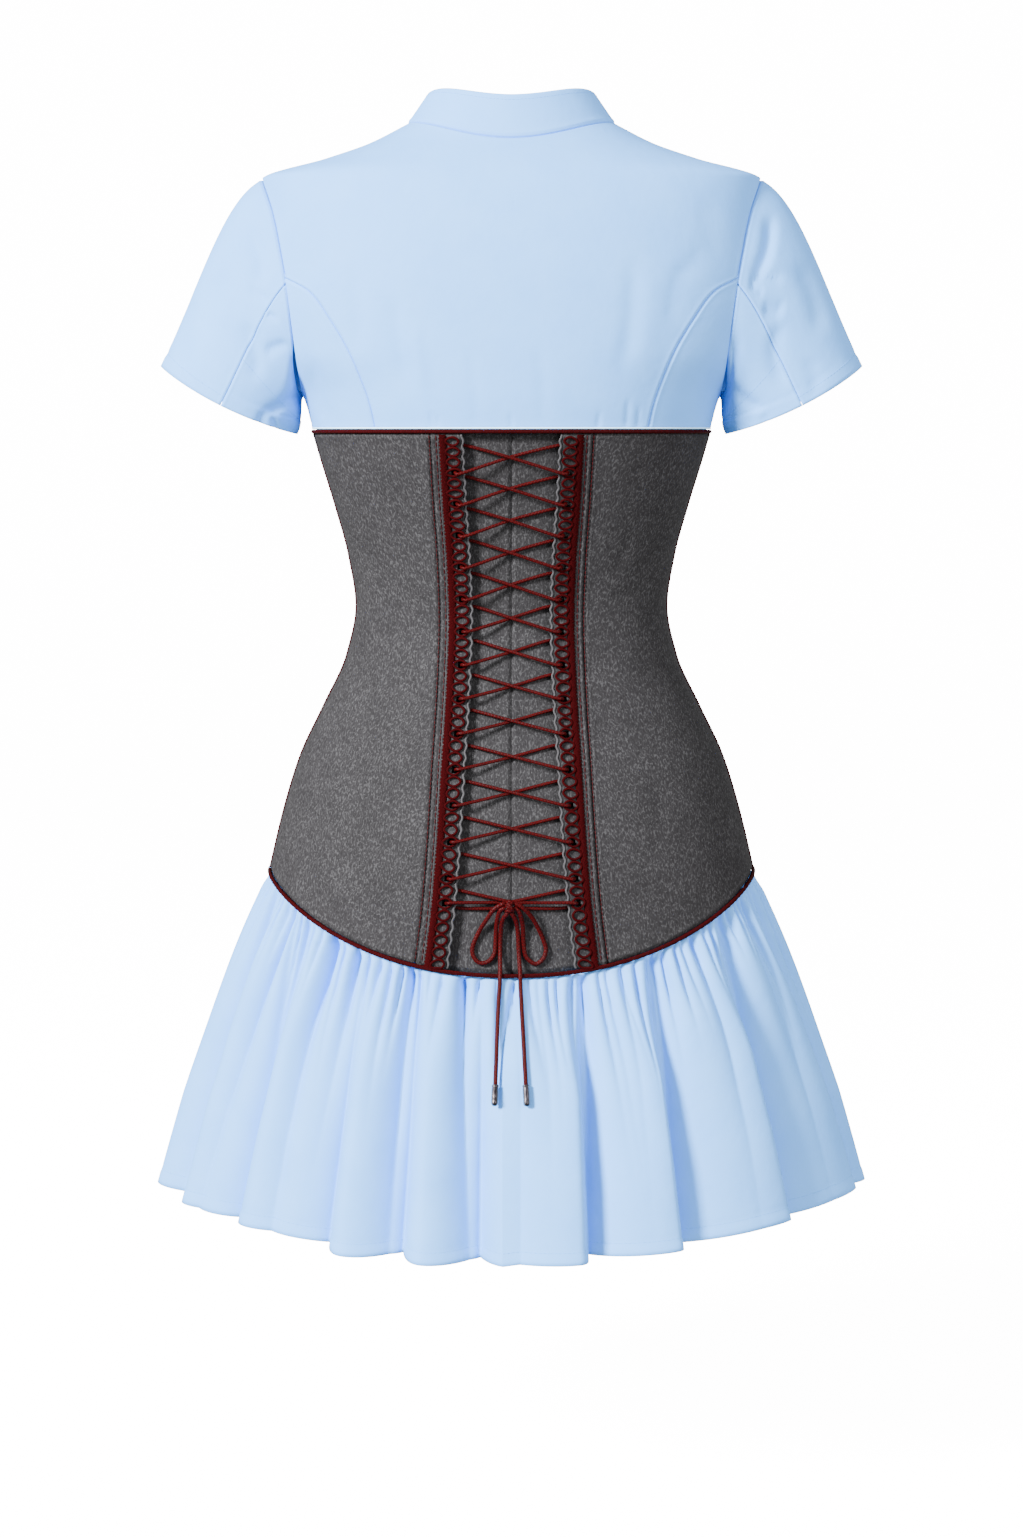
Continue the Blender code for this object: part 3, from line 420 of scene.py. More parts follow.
def tube_frames(path: Array, closed: bool = False) -> tuple[Array, Array]:
    """Two directions across a path at each point, turning as little as they can."""
    if closed:
        tangents = unit(np.roll(path, -1, axis=0) - np.roll(path, 1, axis=0))
    else:
        tangents = unit(np.gradient(path, axis=0))
    first = np.cross(tangents[0], [0.0, 0.0, 1.0])
    if np.linalg.norm(first) < 0.1:
        first = np.cross(tangents[0], [0.0, 1.0, 0.0])
    sides = [first / np.linalg.norm(first)]
    for tangent in tangents[1:]:
        side = sides[-1] - tangent * np.dot(sides[-1], tangent)
        sides.append(side / np.linalg.norm(side))
    sides = np.array(sides)
    return sides, np.cross(tangents, sides)


def tube(
    path: Array,
    radius: Array | float,
    around: int = 10,
    closed: bool = False,
    flatten: float = 1.0,
) -> tuple[Array, list, Array]:
    """A round or oval tube along a path, with domed ends unless it is closed.

    Args:
        path: Its centre line.
        radius: One radius, or one for each point.
        around: Points around it.
        closed: True where the end meets the start.
        flatten: The second width as a share of the first.

    Returns:
        Its points, faces and metre coordinates.
    """
    path = np.asarray(path, float)
    radii = np.broadcast_to(np.asarray(radius, float), (len(path),)).copy()
    if not closed:
        lead = unit(path[0] - path[1]) * radii[0]
        tail = unit(path[-1] - path[-2]) * radii[-1]
        steps = ((0.97, 0.25), (0.72, 0.70))
        before = [path[0] + lead * out for out, _ in steps]
        after = [path[-1] + tail * out for out, _ in steps[::-1]]
        path = np.vstack([before, path, after])
        radii = np.concatenate(
            [[radii[0] * r for _, r in steps], radii, [radii[-1] * r for _, r in steps[::-1]]]
        )
    one, other = tube_frames(path, closed)
    swing = np.arange(around) * 2 * np.pi / around
    points = (
        path[:, None]
        + one[:, None] * (np.cos(swing) * radii[:, None])[..., None]
        + other[:, None] * (np.sin(swing) * radii[:, None] * flatten)[..., None]
    )
    faces = grid_faces(len(path), around, wrap=True)
    if closed:
        last = (len(path) - 1) * around
        faces += [[last + c, last + (c + 1) % around, (c + 1) % around, c] for c in range(around)]
    else:
        last = (len(path) - 1) * around
        faces += [list(range(around))[::-1], [last + c for c in range(around)]]
    girth = swing * float(radii.mean())
    along = path_length(path)
    uv = np.stack(np.broadcast_arrays(girth[None, :], along[:, None]), axis=-1)
    return points.reshape(-1, 3), faces, uv.reshape(-1, 2)


def joined(parts: Sequence[tuple[Array, list, Array]]) -> tuple[Array, list, Array]:
    """Several meshes' points, faces and coordinates as one."""
    points, faces, uv, start = [], [], [], 0
    for some_points, some_faces, some_uv in parts:
        points.append(some_points)
        uv.append(some_uv)
        faces += [[v + start for v in face] for face in some_faces]
        start += len(some_points)
    return np.vstack(points), faces, np.vstack(uv)


def add_tubes(name: str, parts: Sequence, finish: "Finish") -> bpy.types.Object:
    """One piece from one or more tubes."""
    points, faces, uv = joined(parts)
    return new_object(name, mesh_of(name, points, faces, uv), finish)


def add_stitches(
    name: str,
    path: Array,
    finish: "Finish",
    length: float,
    gap: float,
    radius: float,
) -> bpy.types.Object:
    """A row of short thread stitches laid along a path, their ends dipping into the cloth.

    Args:
        name: The piece's name.
        path: Where the row runs, on the cloth's surface.
        finish: The thread's finish.
        length: One stitch's length.
        gap: The gap between two.
        radius: The thread's radius.

    Returns:
        The piece.
    """
    line = resampled(path, (length + gap) / 4)
    parts = []
    for start in range(0, len(line) - 3, 4):
        run = line[start : start + 4]
        parts.append(tube(run, np.array([0.6, 1.0, 1.0, 0.6]) * radius, around=6))
    return add_tubes(name, parts, finish)


# ---------------------------------------------------------------- creases


@dataclass(frozen=True)
class Crease:
    """A soft trough (depth below 0) or ridge, between two places seen from behind.

    The places are (x, z); bend moves its middle sideways, and skew makes one side steeper.
    """

    start: tuple[float, float]
    end: tuple[float, float]
    width: float
    depth: float
    bend: float = 0.0
    skew: float = 0.0
    facing: Facing = Facing.BACK

    def twin(self) -> "Crease":
        """A similar crease on the hidden side, a little shifted and shallower."""
        other = Facing.FRONT if self.facing is Facing.BACK else Facing.BACK
        move = 0.004 if self.start[0] > 0 else -0.003
        return Crease(
            (self.start[0] + move, self.start[1] - 0.003),
            (self.end[0] - move, self.end[1] + 0.002),
            self.width * 1.15,
            self.depth * 0.8,
            -self.bend,
            -self.skew,
            other,
        )

    def lift(self, grid: Array, normals: Array) -> Array:
        """How far each point of a grid moves along its normal."""
        line = np.array([self.start, self.end])
        way = line[1] - line[0]
        length = np.linalg.norm(way)
        way = way / length
        across = np.array([-way[1], way[0]])
        offset = grid[..., [0, 2]] - line[0]
        along = offset @ way / length
        aside = offset @ across - self.bend * np.sin(np.pi * np.clip(along, 0, 1))
        fade = smoothstep(-0.12, 0.25, along) * (1 - smoothstep(0.75, 1.12, along))
        side = aside / self.width
        steep = np.where(side > 0, 1 + self.skew, 1 - self.skew)
        shape = np.exp(-((side * steep) ** 2))
        seen = smoothstep(0.0, 0.25, normals[..., 1] * self.facing.value)
        return self.depth * shape * fade * seen


def creased(grid: Array, creases: Sequence[Crease]) -> Array:
    """A grid with creases pressed into it."""
    normals = grid_normals(grid)
    lift = sum((crease.lift(grid, normals) for crease in creases), np.zeros(grid.shape[:2]))
    return grid + normals * lift[..., None]


def rolled(
    grid: Array,
    edges: str,
    dip: float = 0.0009,
    reach: float = 0.0013,
    ridge: float = 0.0003,
) -> Array:
    """A grid whose sewn edges turn in, with a faint pressed ridge beside each.

    Args:
        grid: The panel.
        edges: Any of the letters l, r, b and t, for the edges that are sewn.
        dip: How far the edge itself turns in.
        reach: How wide the turn is.
        ridge: How high the ridge stands.

    Returns:
        The new grid.
    """
    uv = grid_uv(grid)
    far = {
        "l": uv[..., 0] - uv[:, [0], 0],
        "r": uv[:, [-1], 0] - uv[..., 0],
        "b": uv[..., 1],
        "t": uv[[-1], :, 1] - uv[..., 1],
    }
    lift = np.zeros(grid.shape[:2])
    for letter in edges:
        away = far[letter]
        lift -= dip * np.exp(-((away / reach) ** 2))
        lift += ridge * np.exp(-(((away - 2.2 * reach) / reach) ** 2))
    return grid + grid_normals(grid) * lift[..., None]


SEAM_TUCK = ((0.0006, 0.0014), (0.0032, 0.0024))


def tucked(
    grid: Array, edges: str, steps: Sequence[tuple[float, float]] = SEAM_TUCK
) -> Array:
    """A grid whose sewn edges run on under their neighbours.

    Args:
        grid: The panel.
        edges: Any of the letters l, r, b and t.
        steps: How far each added row goes on, and how deep it lies.

    Returns:
        The larger grid.
    """
    for letter in edges:
        normals = grid_normals(grid)
        if letter in "lr":
            grid, normals = grid.swapaxes(0, 1), normals.swapaxes(0, 1)
        if letter in "lb":
            grid, normals = grid[::-1], normals[::-1]
        way = unit(grid[-1] - grid[-7])
        added = [grid[-1] + way * out - normals[-1] * deep for out, deep in steps]
        grid = np.concatenate([grid, np.array(added)], axis=0)
        if letter in "lb":
            grid = grid[::-1]
        if letter in "lr":
            grid = grid.swapaxes(0, 1)
    return grid


def shares(size: float, step: float, low: bool = True, high: bool = True) -> Array:
    """Shares from 0 to 1 a step apart, closer together at the sewn ends."""
    near = np.array([0.0, 0.0006, 0.0012, 0.0019, 0.0028, 0.0040]) / size
    start = near if low else np.array([0.0])
    end = 1 - (near if high else np.array([0.0]))[::-1]
    count = max(3, round((end[0] - start[-1]) * size / step) + 1)
    return np.concatenate([start, np.linspace(start[-1], end[0], count)[1:-1], end])


# ---------------------------------------------------------------- shader groups


class NodeKit:
    """Makes and links the nodes of one tree, from left to right."""

    def __init__(self, tree: bpy.types.NodeTree) -> None:
        """Keeps the tree."""
        self.tree = tree

    def node(self, kind: str, **settings: object) -> bpy.types.Node:
        """A node with its settings.

        Args:
            kind: The node's type name, without the ShaderNode in front.
            **settings: Properties of the node by name.

        Returns:
            The node.
        """
        made = self.tree.nodes.new(f"ShaderNode{kind}")
        made.location.x = 200 * len(self.tree.nodes)
        for name, value in settings.items():
            setattr(made, name, value)
        return made

    def feed(self, socket: Link, value: Value) -> None:
        """Links an output to a socket, or sets a constant on it."""
        if isinstance(value, bpy.types.NodeSocket):
            self.tree.links.new(value, socket)
        elif isinstance(value, tuple) and socket.type == "RGBA":
            socket.default_value = (*value, 1.0)
        else:
            socket.default_value = value

    def math(
        self, operation: str, one: Value, other: Value = 0.0, clamp: bool = False
    ) -> Link:
        """The result of a math node."""
        made = self.node("Math", operation=operation, use_clamp=clamp)
        self.feed(made.inputs[0], one)
        self.feed(made.inputs[1], other)
        return made.outputs[0]

    def blend(self, share: Value, low: Value, high: Value) -> Link:
        """A colour between two."""
        made = self.node("Mix", data_type="RGBA")
        self.feed(made.inputs["Factor"], share)
        self.feed(made.inputs["A"], low)
        self.feed(made.inputs["B"], high)
        return made.outputs["Result"]

    def span(
        self, value: Value, low: float, high: float, out_low: float, out_high: float
    ) -> Link:
        """A value moved from one span to another and kept inside it."""
        made = self.node("MapRange")
        for name, given in (
            ("Value", value),
            ("From Min", low),
            ("From Max", high),
            ("To Min", out_low),
            ("To Max", out_high),
        ):
            self.feed(made.inputs[name], given)
        return made.outputs[0]

    def noise(
        self, vector: Link, scale: Value, detail: float = 3.0, roughness: float = 0.55
    ) -> Link:
        """A noise texture's value."""
        made = self.node("TexNoise")
        for name, given in (
            ("Vector", vector),
            ("Scale", scale),
            ("Detail", detail),
            ("Roughness", roughness),
        ):
            self.feed(made.inputs[name], given)
        return made.outputs[0]

    def stretched(self, vector: Link, across: Value, along: Value) -> Link:
        """Metre coordinates divided by a width and a length."""
        parts = self.node("SeparateXYZ")
        self.feed(parts.inputs[0], vector)
        together = self.node("CombineXYZ")
        self.feed(together.inputs[0], self.math("DIVIDE", parts.outputs[0], across))
        self.feed(together.inputs[1], self.math("DIVIDE", parts.outputs[1], along))
        return together.outputs[0]


@dataclass
class Effect:
    """A shader node group that several materials share, built once."""

    name: str
    inputs: tuple[tuple[str, str, float], ...]
    outputs: tuple[str, ...]
    build: Callable[[NodeKit, bpy.types.Node, bpy.types.Node], None]

    def group(self) -> bpy.types.NodeTree:
        """The group, made on first use."""
        known = bpy.data.node_groups.get(self.name)
        if known:
            return known
        tree = bpy.data.node_groups.new(self.name, "ShaderNodeTree")
        for name, kind, value in self.inputs:
            made = tree.interface.new_socket(name, in_out="INPUT", socket_type=kind)
            if kind == "NodeSocketFloat":
                made.default_value = value
        for name in self.outputs:
            tree.interface.new_socket(name, in_out="OUTPUT", socket_type="NodeSocketFloat")
        kit = NodeKit(tree)
        entry = tree.nodes.new("NodeGroupInput")
        leave = tree.nodes.new("NodeGroupOutput")
        self.build(kit, entry, leave)
        return tree

    def place(self, kit: NodeKit, **values: Value) -> bpy.types.Node:
        """Places the group in a material with its values, by input name."""
        made = kit.node("Group")
        made.node_tree = self.group()
        for name, value in values.items():
            kit.feed(made.inputs[name.replace("_", " ")], value)
        return made


def build_weave(kit: NodeKit, entry: bpy.types.Node, leave: bpy.types.Node) -> None:
    """Crossing threads; a slant above 0 runs the ribs diagonally, as in twill."""
    parts = kit.node("SeparateXYZ")
    kit.feed(parts.inputs[0], entry.outputs["Vector"])
    waver = kit.noise(entry.outputs["Vector"], 900.0, 2.0)
    waver = kit.math("MULTIPLY", kit.math("SUBTRACT", waver, 0.5), 2.2)
    turns = kit.math("DIVIDE", math.tau, entry.outputs["Pitch"])
    slanted = kit.math("MULTIPLY", parts.outputs[1], entry.outputs["Slant"])
    across = kit.math("MULTIPLY", kit.math("ADD", parts.outputs[0], slanted), turns)
    up = kit.math("MULTIPLY", parts.outputs[1], turns)
    warp = kit.math("SINE", kit.math("ADD", across, waver))
    weft = kit.math("SINE", kit.math("ADD", up, waver))
    plain = kit.math("MULTIPLY", warp, weft)
    kept = kit.math("SUBTRACT", 1.0, entry.outputs["Slant"], clamp=True)
    height = kit.math("ADD", kit.math("MULTIPLY", plain, kept), warp)
    kit.feed(leave.inputs["Height"], kit.span(height, -2.0, 2.0, 0.0, 1.0))


WEAVE = Effect(
    "thread_weave",
    (
        ("Vector", "NodeSocketVector", 0.0),
        ("Pitch", "NodeSocketFloat", 0.0005),
        ("Slant", "NodeSocketFloat", 0.0),
    ),
    ("Height",),
    build_weave,
)


def build_slubs(kit: NodeKit, entry: bpy.types.Node, leave: bpy.types.Node) -> None:
    """Short uneven threads lighter and darker than the rest, along V."""
    long = kit.stretched(entry.outputs["Vector"], entry.outputs["Width"], entry.outputs["Length"])
    strong = kit.noise(long, 1.0, 3.0, 0.6)
    kit.feed(leave.inputs["Light"], kit.span(strong, 0.50, 0.68, 0.0, 1.0))
    kit.feed(leave.inputs["Dark"], kit.span(strong, 0.47, 0.32, 0.0, 1.0))
    wander = kit.stretched(
        entry.outputs["Vector"],
        kit.math("MULTIPLY", entry.outputs["Width"], 3.2),
        entry.outputs["Length"],
    )
    curl = kit.noise(wander, 1.0, 1.0, 0.5)
    line = kit.math("ABSOLUTE", kit.math("SUBTRACT", curl, 0.5))
    broken = kit.span(kit.noise(wander, 1.7, 2.0), 0.46, 0.56, 0.0, 1.0)
    line = kit.span(line, 0.030, 0.075, 1.0, 0.0)
    kit.feed(leave.inputs["Fleck"], kit.math("MULTIPLY", line, broken))


SLUBS = Effect(
    "slub_threads",
    (
        ("Vector", "NodeSocketVector", 0.0),
        ("Width", "NodeSocketFloat", 0.0007),
        ("Length", "NodeSocketFloat", 0.005),
    ),
    ("Light", "Dark", "Fleck"),
    build_slubs,
)


def build_mottle(kit: NodeKit, entry: bpy.types.Node, leave: bpy.types.Node) -> None:
    """Broad soft differences in tone, and the small crumple left by wear."""
    scale = kit.math("DIVIDE", 1.0, entry.outputs["Size"])
    kit.feed(leave.inputs["Tone"], kit.noise(entry.outputs["Vector"], scale, 3.0, 0.5))
    small = kit.math("MULTIPLY", scale, 3.3)
    kit.feed(leave.inputs["Crumple"], kit.noise(entry.outputs["Vector"], small, 4.0, 0.5))


MOTTLE = Effect(
    "soft_mottle",
    (("Vector", "NodeSocketVector", 0.0), ("Size", "NodeSocketFloat", 0.05)),
    ("Tone", "Crumple"),
    build_mottle,
)


def build_braid(kit: NodeKit, entry: bpy.types.Node, leave: bpy.types.Node) -> None:
    """Strands crossing both ways round a cord, or over a tape."""
    parts = kit.node("SeparateXYZ")
    kit.feed(parts.inputs[0], entry.outputs["Vector"])
    turns = kit.math("DIVIDE", math.tau, entry.outputs["Pitch"])
    across = kit.math("MULTIPLY", parts.outputs[0], turns)
    along = kit.math("MULTIPLY", parts.outputs[1], turns)
    one = kit.math("SINE", kit.math("ADD", across, along))
    other = kit.math("SINE", kit.math("SUBTRACT", across, along))
    height = kit.math("MAXIMUM", one, other)
    rough = kit.noise(entry.outputs["Vector"], 1400.0, 3.0)
    mixed = kit.math("ADD", height, kit.math("MULTIPLY", rough, 0.8))
    kit.feed(leave.inputs["Height"], kit.span(mixed, -0.6, 1.8, 0.0, 1.0))
    kit.feed(leave.inputs["Fuzz"], rough)


BRAID = Effect(
    "braided_strands",
    (("Vector", "NodeSocketVector", 0.0), ("Pitch", "NodeSocketFloat", 0.0012)),
    ("Height", "Fuzz"),
    build_braid,
)


# ---------------------------------------------------------------- finishes


@dataclass(frozen=True)
class Finish:
    """A procedural material and the record's slot that it belongs to."""

    name: str
    slot: str
    sheen: float = 0.0
    specular: float = 0.10

    def dress(self, kit: NodeKit, shader: bpy.types.Node, metres: Link) -> None:
        """Feeds the shader; each finish does this in its own way."""
        raise NotImplementedError

    def material(self) -> bpy.types.Material:
        """The material, made on first use."""
        known = bpy.data.materials.get(self.name)
        if known:
            return known
        made = bpy.data.materials.new(self.name)
        made.use_nodes = True
        kit = NodeKit(made.node_tree)
        shader = made.node_tree.nodes["Principled BSDF"]
        shader.inputs["Specular IOR Level"].default_value = self.specular
        if self.sheen:
            shader.inputs["Sheen Weight"].default_value = self.sheen
            shader.inputs["Sheen Roughness"].default_value = 0.5
        coordinates = kit.node("TexCoord")
        self.dress(kit, shader, coordinates.outputs["UV"])
        return made

    @staticmethod
    def bump(
        kit: NodeKit, shader: bpy.types.Node, height: Link, strength: float, depth: float
    ) -> None:
        """Feeds the shader's normal from a height."""
        made = kit.node("Bump")
        made.inputs["Strength"].default_value = strength
        made.inputs["Distance"].default_value = depth
        kit.feed(made.inputs["Height"], height)
        kit.feed(shader.inputs["Normal"], made.outputs["Normal"])


@dataclass(frozen=True)
class Poplin(Finish):
    """Fine plain-woven cotton in light blue."""

    light: tuple[float, float, float] = (0.150, 0.430, 0.95)
    dark: tuple[float, float, float] = (0.130, 0.395, 0.92)

    def dress(self, kit: NodeKit, shader: bpy.types.Node, metres: Link) -> None:
        """Soft tone changes under an even weave."""
        weave = WEAVE.place(kit, Vector=metres, Pitch=0.00055).outputs["Height"]
        mottle = MOTTLE.place(kit, Vector=metres, Size=0.035)
        tone = kit.span(mottle.outputs["Tone"], 0.3, 0.7, 0.0, 0.8)
        share = kit.math("ADD", tone, kit.math("MULTIPLY", weave, 0.2))
        kit.feed(shader.inputs["Base Color"], kit.blend(share, self.light, self.dark))
        kit.feed(shader.inputs["Roughness"], kit.span(weave, 0.0, 1.0, 0.78, 0.66))
        crumple = kit.math("MULTIPLY", mottle.outputs["Crumple"], 6.0)
        height = kit.math("ADD", crumple, kit.math("MULTIPLY", weave, 0.35))
        self.bump(kit, shader, height, 0.35, 0.00016)


@dataclass(frozen=True)
class Denim(Finish):
    """Grey marled denim with upright slubs."""

    ground: tuple[float, float, float] = (0.0190, 0.0180, 0.0192)
    pale: tuple[float, float, float] = (0.090, 0.089, 0.093)
    deep: tuple[float, float, float] = (0.0062, 0.0058, 0.0062)

    def dress(self, kit: NodeKit, shader: bpy.types.Node, metres: Link) -> None:
        """Light and dark threads over the ground, and twill ribs in the height."""
        slubs = SLUBS.place(kit, Vector=metres, Width=0.0008, Length=0.0045)
        fine = SLUBS.place(kit, Vector=metres, Width=0.00045, Length=0.0016)
        twill = WEAVE.place(kit, Vector=metres, Pitch=0.0008, Slant=0.7).outputs["Height"]
        mottle = MOTTLE.place(kit, Vector=metres, Size=0.03)
        darker = kit.math("MULTIPLY", slubs.outputs["Dark"], 0.45)
        colour = kit.blend(darker, self.ground, self.deep)
        for mask, share, end in (
            (fine.outputs["Dark"], 0.3, self.deep),
            (slubs.outputs["Light"], 0.22, self.pale),
            (fine.outputs["Light"], 0.10, self.pale),
        ):
            colour = kit.blend(kit.math("MULTIPLY", mask, share), colour, end)
        fleck = kit.math("MULTIPLY", slubs.outputs["Fleck"], 0.42)
        colour = kit.blend(fleck, colour, self.pale)
        tone = kit.span(mottle.outputs["Tone"], 0.3, 0.7, 0.0, 0.25)
        colour = kit.blend(tone, colour, self.deep)
        kit.feed(shader.inputs["Base Color"], colour)
        kit.feed(shader.inputs["Roughness"], kit.span(twill, 0.0, 1.0, 0.92, 0.78))
        height = kit.math("ADD", slubs.outputs["Light"], kit.math("MULTIPLY", twill, 0.5))
        height = kit.math("ADD", height, kit.math("MULTIPLY", fleck, 1.5))
        self.bump(kit, shader, height, 0.35, 0.00018)


@dataclass(frozen=True)
class RedTrim(Finish):
    """Dark red braid, tape and cord; pitch is the braid's repeat."""

    pitch: float = 0.0012
    # deep is painted shade between the braid's strands, bright the painted highlight on their
    # tops.
    deep: tuple[float, float, float] = (0.010, 0.0008, 0.0012)
    bright: tuple[float, float, float] = (0.040, 0.0013, 0.0019)
    rough: float = 0.55

    def dress(self, kit: NodeKit, shader: bpy.types.Node, metres: Link) -> None:
        """Strands raised in the braid, with painted highlight on their tops and painted shade
        between them.
        """
        braid = BRAID.place(kit, Vector=metres, Pitch=self.pitch)
        mottle = MOTTLE.place(kit, Vector=metres, Size=0.006)
        # Painted highlight and shade: colour goes from deep between the strands to bright on
        # their tops, by the braid's height, made uneven at random.
        share = kit.math("MULTIPLY", braid.outputs["Height"], 0.85)
        uneven_highlight = kit.span(mottle.outputs["Tone"], 0.3, 0.7, 0.7, 1.1)
        share = kit.math("MULTIPLY", share, uneven_highlight)
        kit.feed(shader.inputs["Base Color"], kit.blend(share, self.deep, self.bright))
        low, high = self.rough - 0.1, self.rough + 0.15
        kit.feed(shader.inputs["Roughness"], kit.span(braid.outputs["Fuzz"], 0.2, 0.8, low, high))
        self.bump(kit, shader, braid.outputs["Height"], 0.7, 0.00025)


@dataclass(frozen=True)
class Thread(Finish):
    """Sewing thread with its twist."""

    colour: tuple[float, float, float] = (0.050, 0.0035, 0.0050)
    shade: tuple[float, float, float] = (0.020, 0.0015, 0.0022)

    def dress(self, kit: NodeKit, shader: bpy.types.Node, metres: Link) -> None:
        """A slanted twist in height, with painted shade in its grooves."""
        twist = WEAVE.place(kit, Vector=metres, Pitch=0.0004, Slant=1.0).outputs["Height"]
        # Painted shade: the twist's grooves take the darker shade colour.
        kit.feed(shader.inputs["Base Color"], kit.blend(twist, self.shade, self.colour))
        kit.feed(shader.inputs["Roughness"], kit.span(twist, 0.0, 1.0, 0.65, 0.45))
        self.bump(kit, shader, twist, 0.4, 0.0001)


@dataclass(frozen=True)
class TipMetal(Finish):
    """Dark nickel of the lace tips, with fine lengthwise brushing and dulled spots."""

    bright: tuple[float, float, float] = (0.30, 0.27, 0.28)
    dull: tuple[float, float, float] = (0.020, 0.017, 0.020)
    # The repeat of the painted reflection bands round the tip.
    reflection_band: float = 0.0052

    def dress(self, kit: NodeKit, shader: bpy.types.Node, metres: Link) -> None:
        """Brushed metal, duller in spots, with lengthwise bands round the tip painted as
        reflections.
        """
        mottle = MOTTLE.place(kit, Vector=metres, Size=0.004)
        brushed = kit.noise(kit.stretched(metres, 0.0002, 0.006), 1.0, 3.0)
        parts = kit.node("SeparateXYZ")
        kit.feed(parts.inputs[0], metres)
        # Painted reflection: lighter and darker lengthwise bands by the angle round the tip.
        around = kit.math("MULTIPLY", parts.outputs[0], math.tau / self.reflection_band)
        reflection_band = kit.span(kit.math("SINE", around), 0.35, 1.0, 0.0, 0.75)
        spots = kit.span(mottle.outputs["Tone"], 0.35, 0.75, 0.0, 0.30)
        share = kit.math("ADD", reflection_band, kit.math("MULTIPLY", spots, brushed), clamp=True)
        colour = kit.blend(share, self.dull, self.bright)
        kit.feed(shader.inputs["Base Color"], colour)
        kit.feed(shader.inputs["Roughness"], kit.span(brushed, 0.3, 0.7, 0.28, 0.45))
        shader.inputs["Metallic"].default_value = 1.0
        self.bump(kit, shader, brushed, 0.25, 0.00008)


@dataclass(frozen=True)
class Pearl(Finish):
    """Pale blue shirt button with clouded depth."""

    clear: tuple[float, float, float] = (0.72, 0.80, 0.90)
    cloudy: tuple[float, float, float] = (0.52, 0.64, 0.80)

    def dress(self, kit: NodeKit, shader: bpy.types.Node, metres: Link) -> None:
        """Soft clouds under a smooth face."""
        mottle = MOTTLE.place(kit, Vector=metres, Size=0.003)
        tone = kit.span(mottle.outputs["Tone"], 0.35, 0.65, 0.0, 1.0)
        kit.feed(shader.inputs["Base Color"], kit.blend(tone, self.clear, self.cloudy))
        kit.feed(shader.inputs["Roughness"], kit.span(tone, 0.0, 1.0, 0.22, 0.36))
        self.bump(kit, shader, mottle.outputs["Crumple"], 0.15, 0.00008)


@dataclass(frozen=True)
class StudioPaper(Finish):
    """The pale paper of floor and backdrop, lit from within so that it stays even."""

    glow: float = 14.0

    def dress(self, kit: NodeKit, shader: bpy.types.Node, metres: Link) -> None:
        """Nearly white, with the faintest unevenness."""
        mottle = MOTTLE.place(kit, Vector=metres, Size=0.5)
        tone = mottle.outputs["Tone"]
        pale = kit.blend(tone, (0.985, 0.985, 0.985), (1.0, 1.0, 1.0))
        kit.feed(shader.inputs["Base Color"], pale)
        kit.feed(shader.inputs["Roughness"], kit.span(tone, 0.0, 1.0, 0.95, 0.85))
        kit.feed(shader.inputs["Emission Color"], pale)
        shader.inputs["Emission Strength"].default_value = self.glow


POPLIN = Poplin("light_blue_poplin", "poplin", specular=0.15)
DENIM = Denim("grey_slub_denim", "denim", specular=0.08)
TAPE = RedTrim("red_loop_tape", "trim", specular=0.02, pitch=0.0016, rough=0.75)
PIPING = RedTrim("red_piping", "trim", specular=0.03, pitch=0.0022, rough=0.6)
# The lace's bright is a stronger painted highlight on its strands' tops.
LACE = RedTrim(
    "red_lace", "trim", specular=0.06, pitch=0.0026, bright=(0.062, 0.0016, 0.0018), rough=0.42
)
RED_THREAD = Thread("red_thread", "trim")
BLUE_THREAD = Thread("blue_thread", "poplin", colour=(0.17, 0.48, 0.95), shade=(0.08, 0.30, 0.75))
PALE_THREAD = Thread(
    "pale_thread", "denim", colour=(0.062, 0.060, 0.064), shade=(0.030, 0.029, 0.031)
)
# A pale blue cord painted as the highlight where the bodice's edge folds over above the top
# piping.
PAINTED_HIGHLIGHT_EDGE = Thread("painted_highlight_edge", "poplin", colour=(0.55, 0.85, 1.0), shade=(0.35, 0.65, 0.95))
METAL = TipMetal("tip_metal", "metal", specular=0.5)
PEARL = Pearl("pearl_button", "button", specular=0.5)
PAPER = StudioPaper("studio_paper", "poplin")


# ---------------------------------------------------------------- sub-assemblies


class Held(Enum):
    """How a sheet of cloth is held."""

    STRETCHED = "stretched"
    GATHERED = "gathered"
    HUNG = "hung"


def declare_sheet(
    piece: bpy.types.Object,
    grid: Array,
    held: Held,
    rests_on: Sequence[str],
    flat: tuple[float, float] | None = None,
) -> None:
    """Logs a cloth piece with the cut's size, taken from its own rows and columns where none is
    given.

    Args:
        piece: The cloth.
        grid: Its surface.
        held: How it is held; not used.
        rests_on: What it is sewn to or lies on.
        flat: The cut's size where it isn't the surface's own.
    """
    area = None
    if flat is None:
        rows = np.linalg.norm(np.diff(grid, axis=1), axis=2).sum(axis=1)
        columns = np.linalg.norm(np.diff(grid, axis=0), axis=2).sum(axis=0)
        flat = (round(float(rows.max()), 4) + 0.001, round(float(columns.max()), 4) + 0.001)
        area = round(min(grid_area(grid), flat[0] * flat[1]), 5)
    list(rests_on)
    LOG.info("%s: cut %.3f x %.3f m, area %s", piece.name, *flat, area)


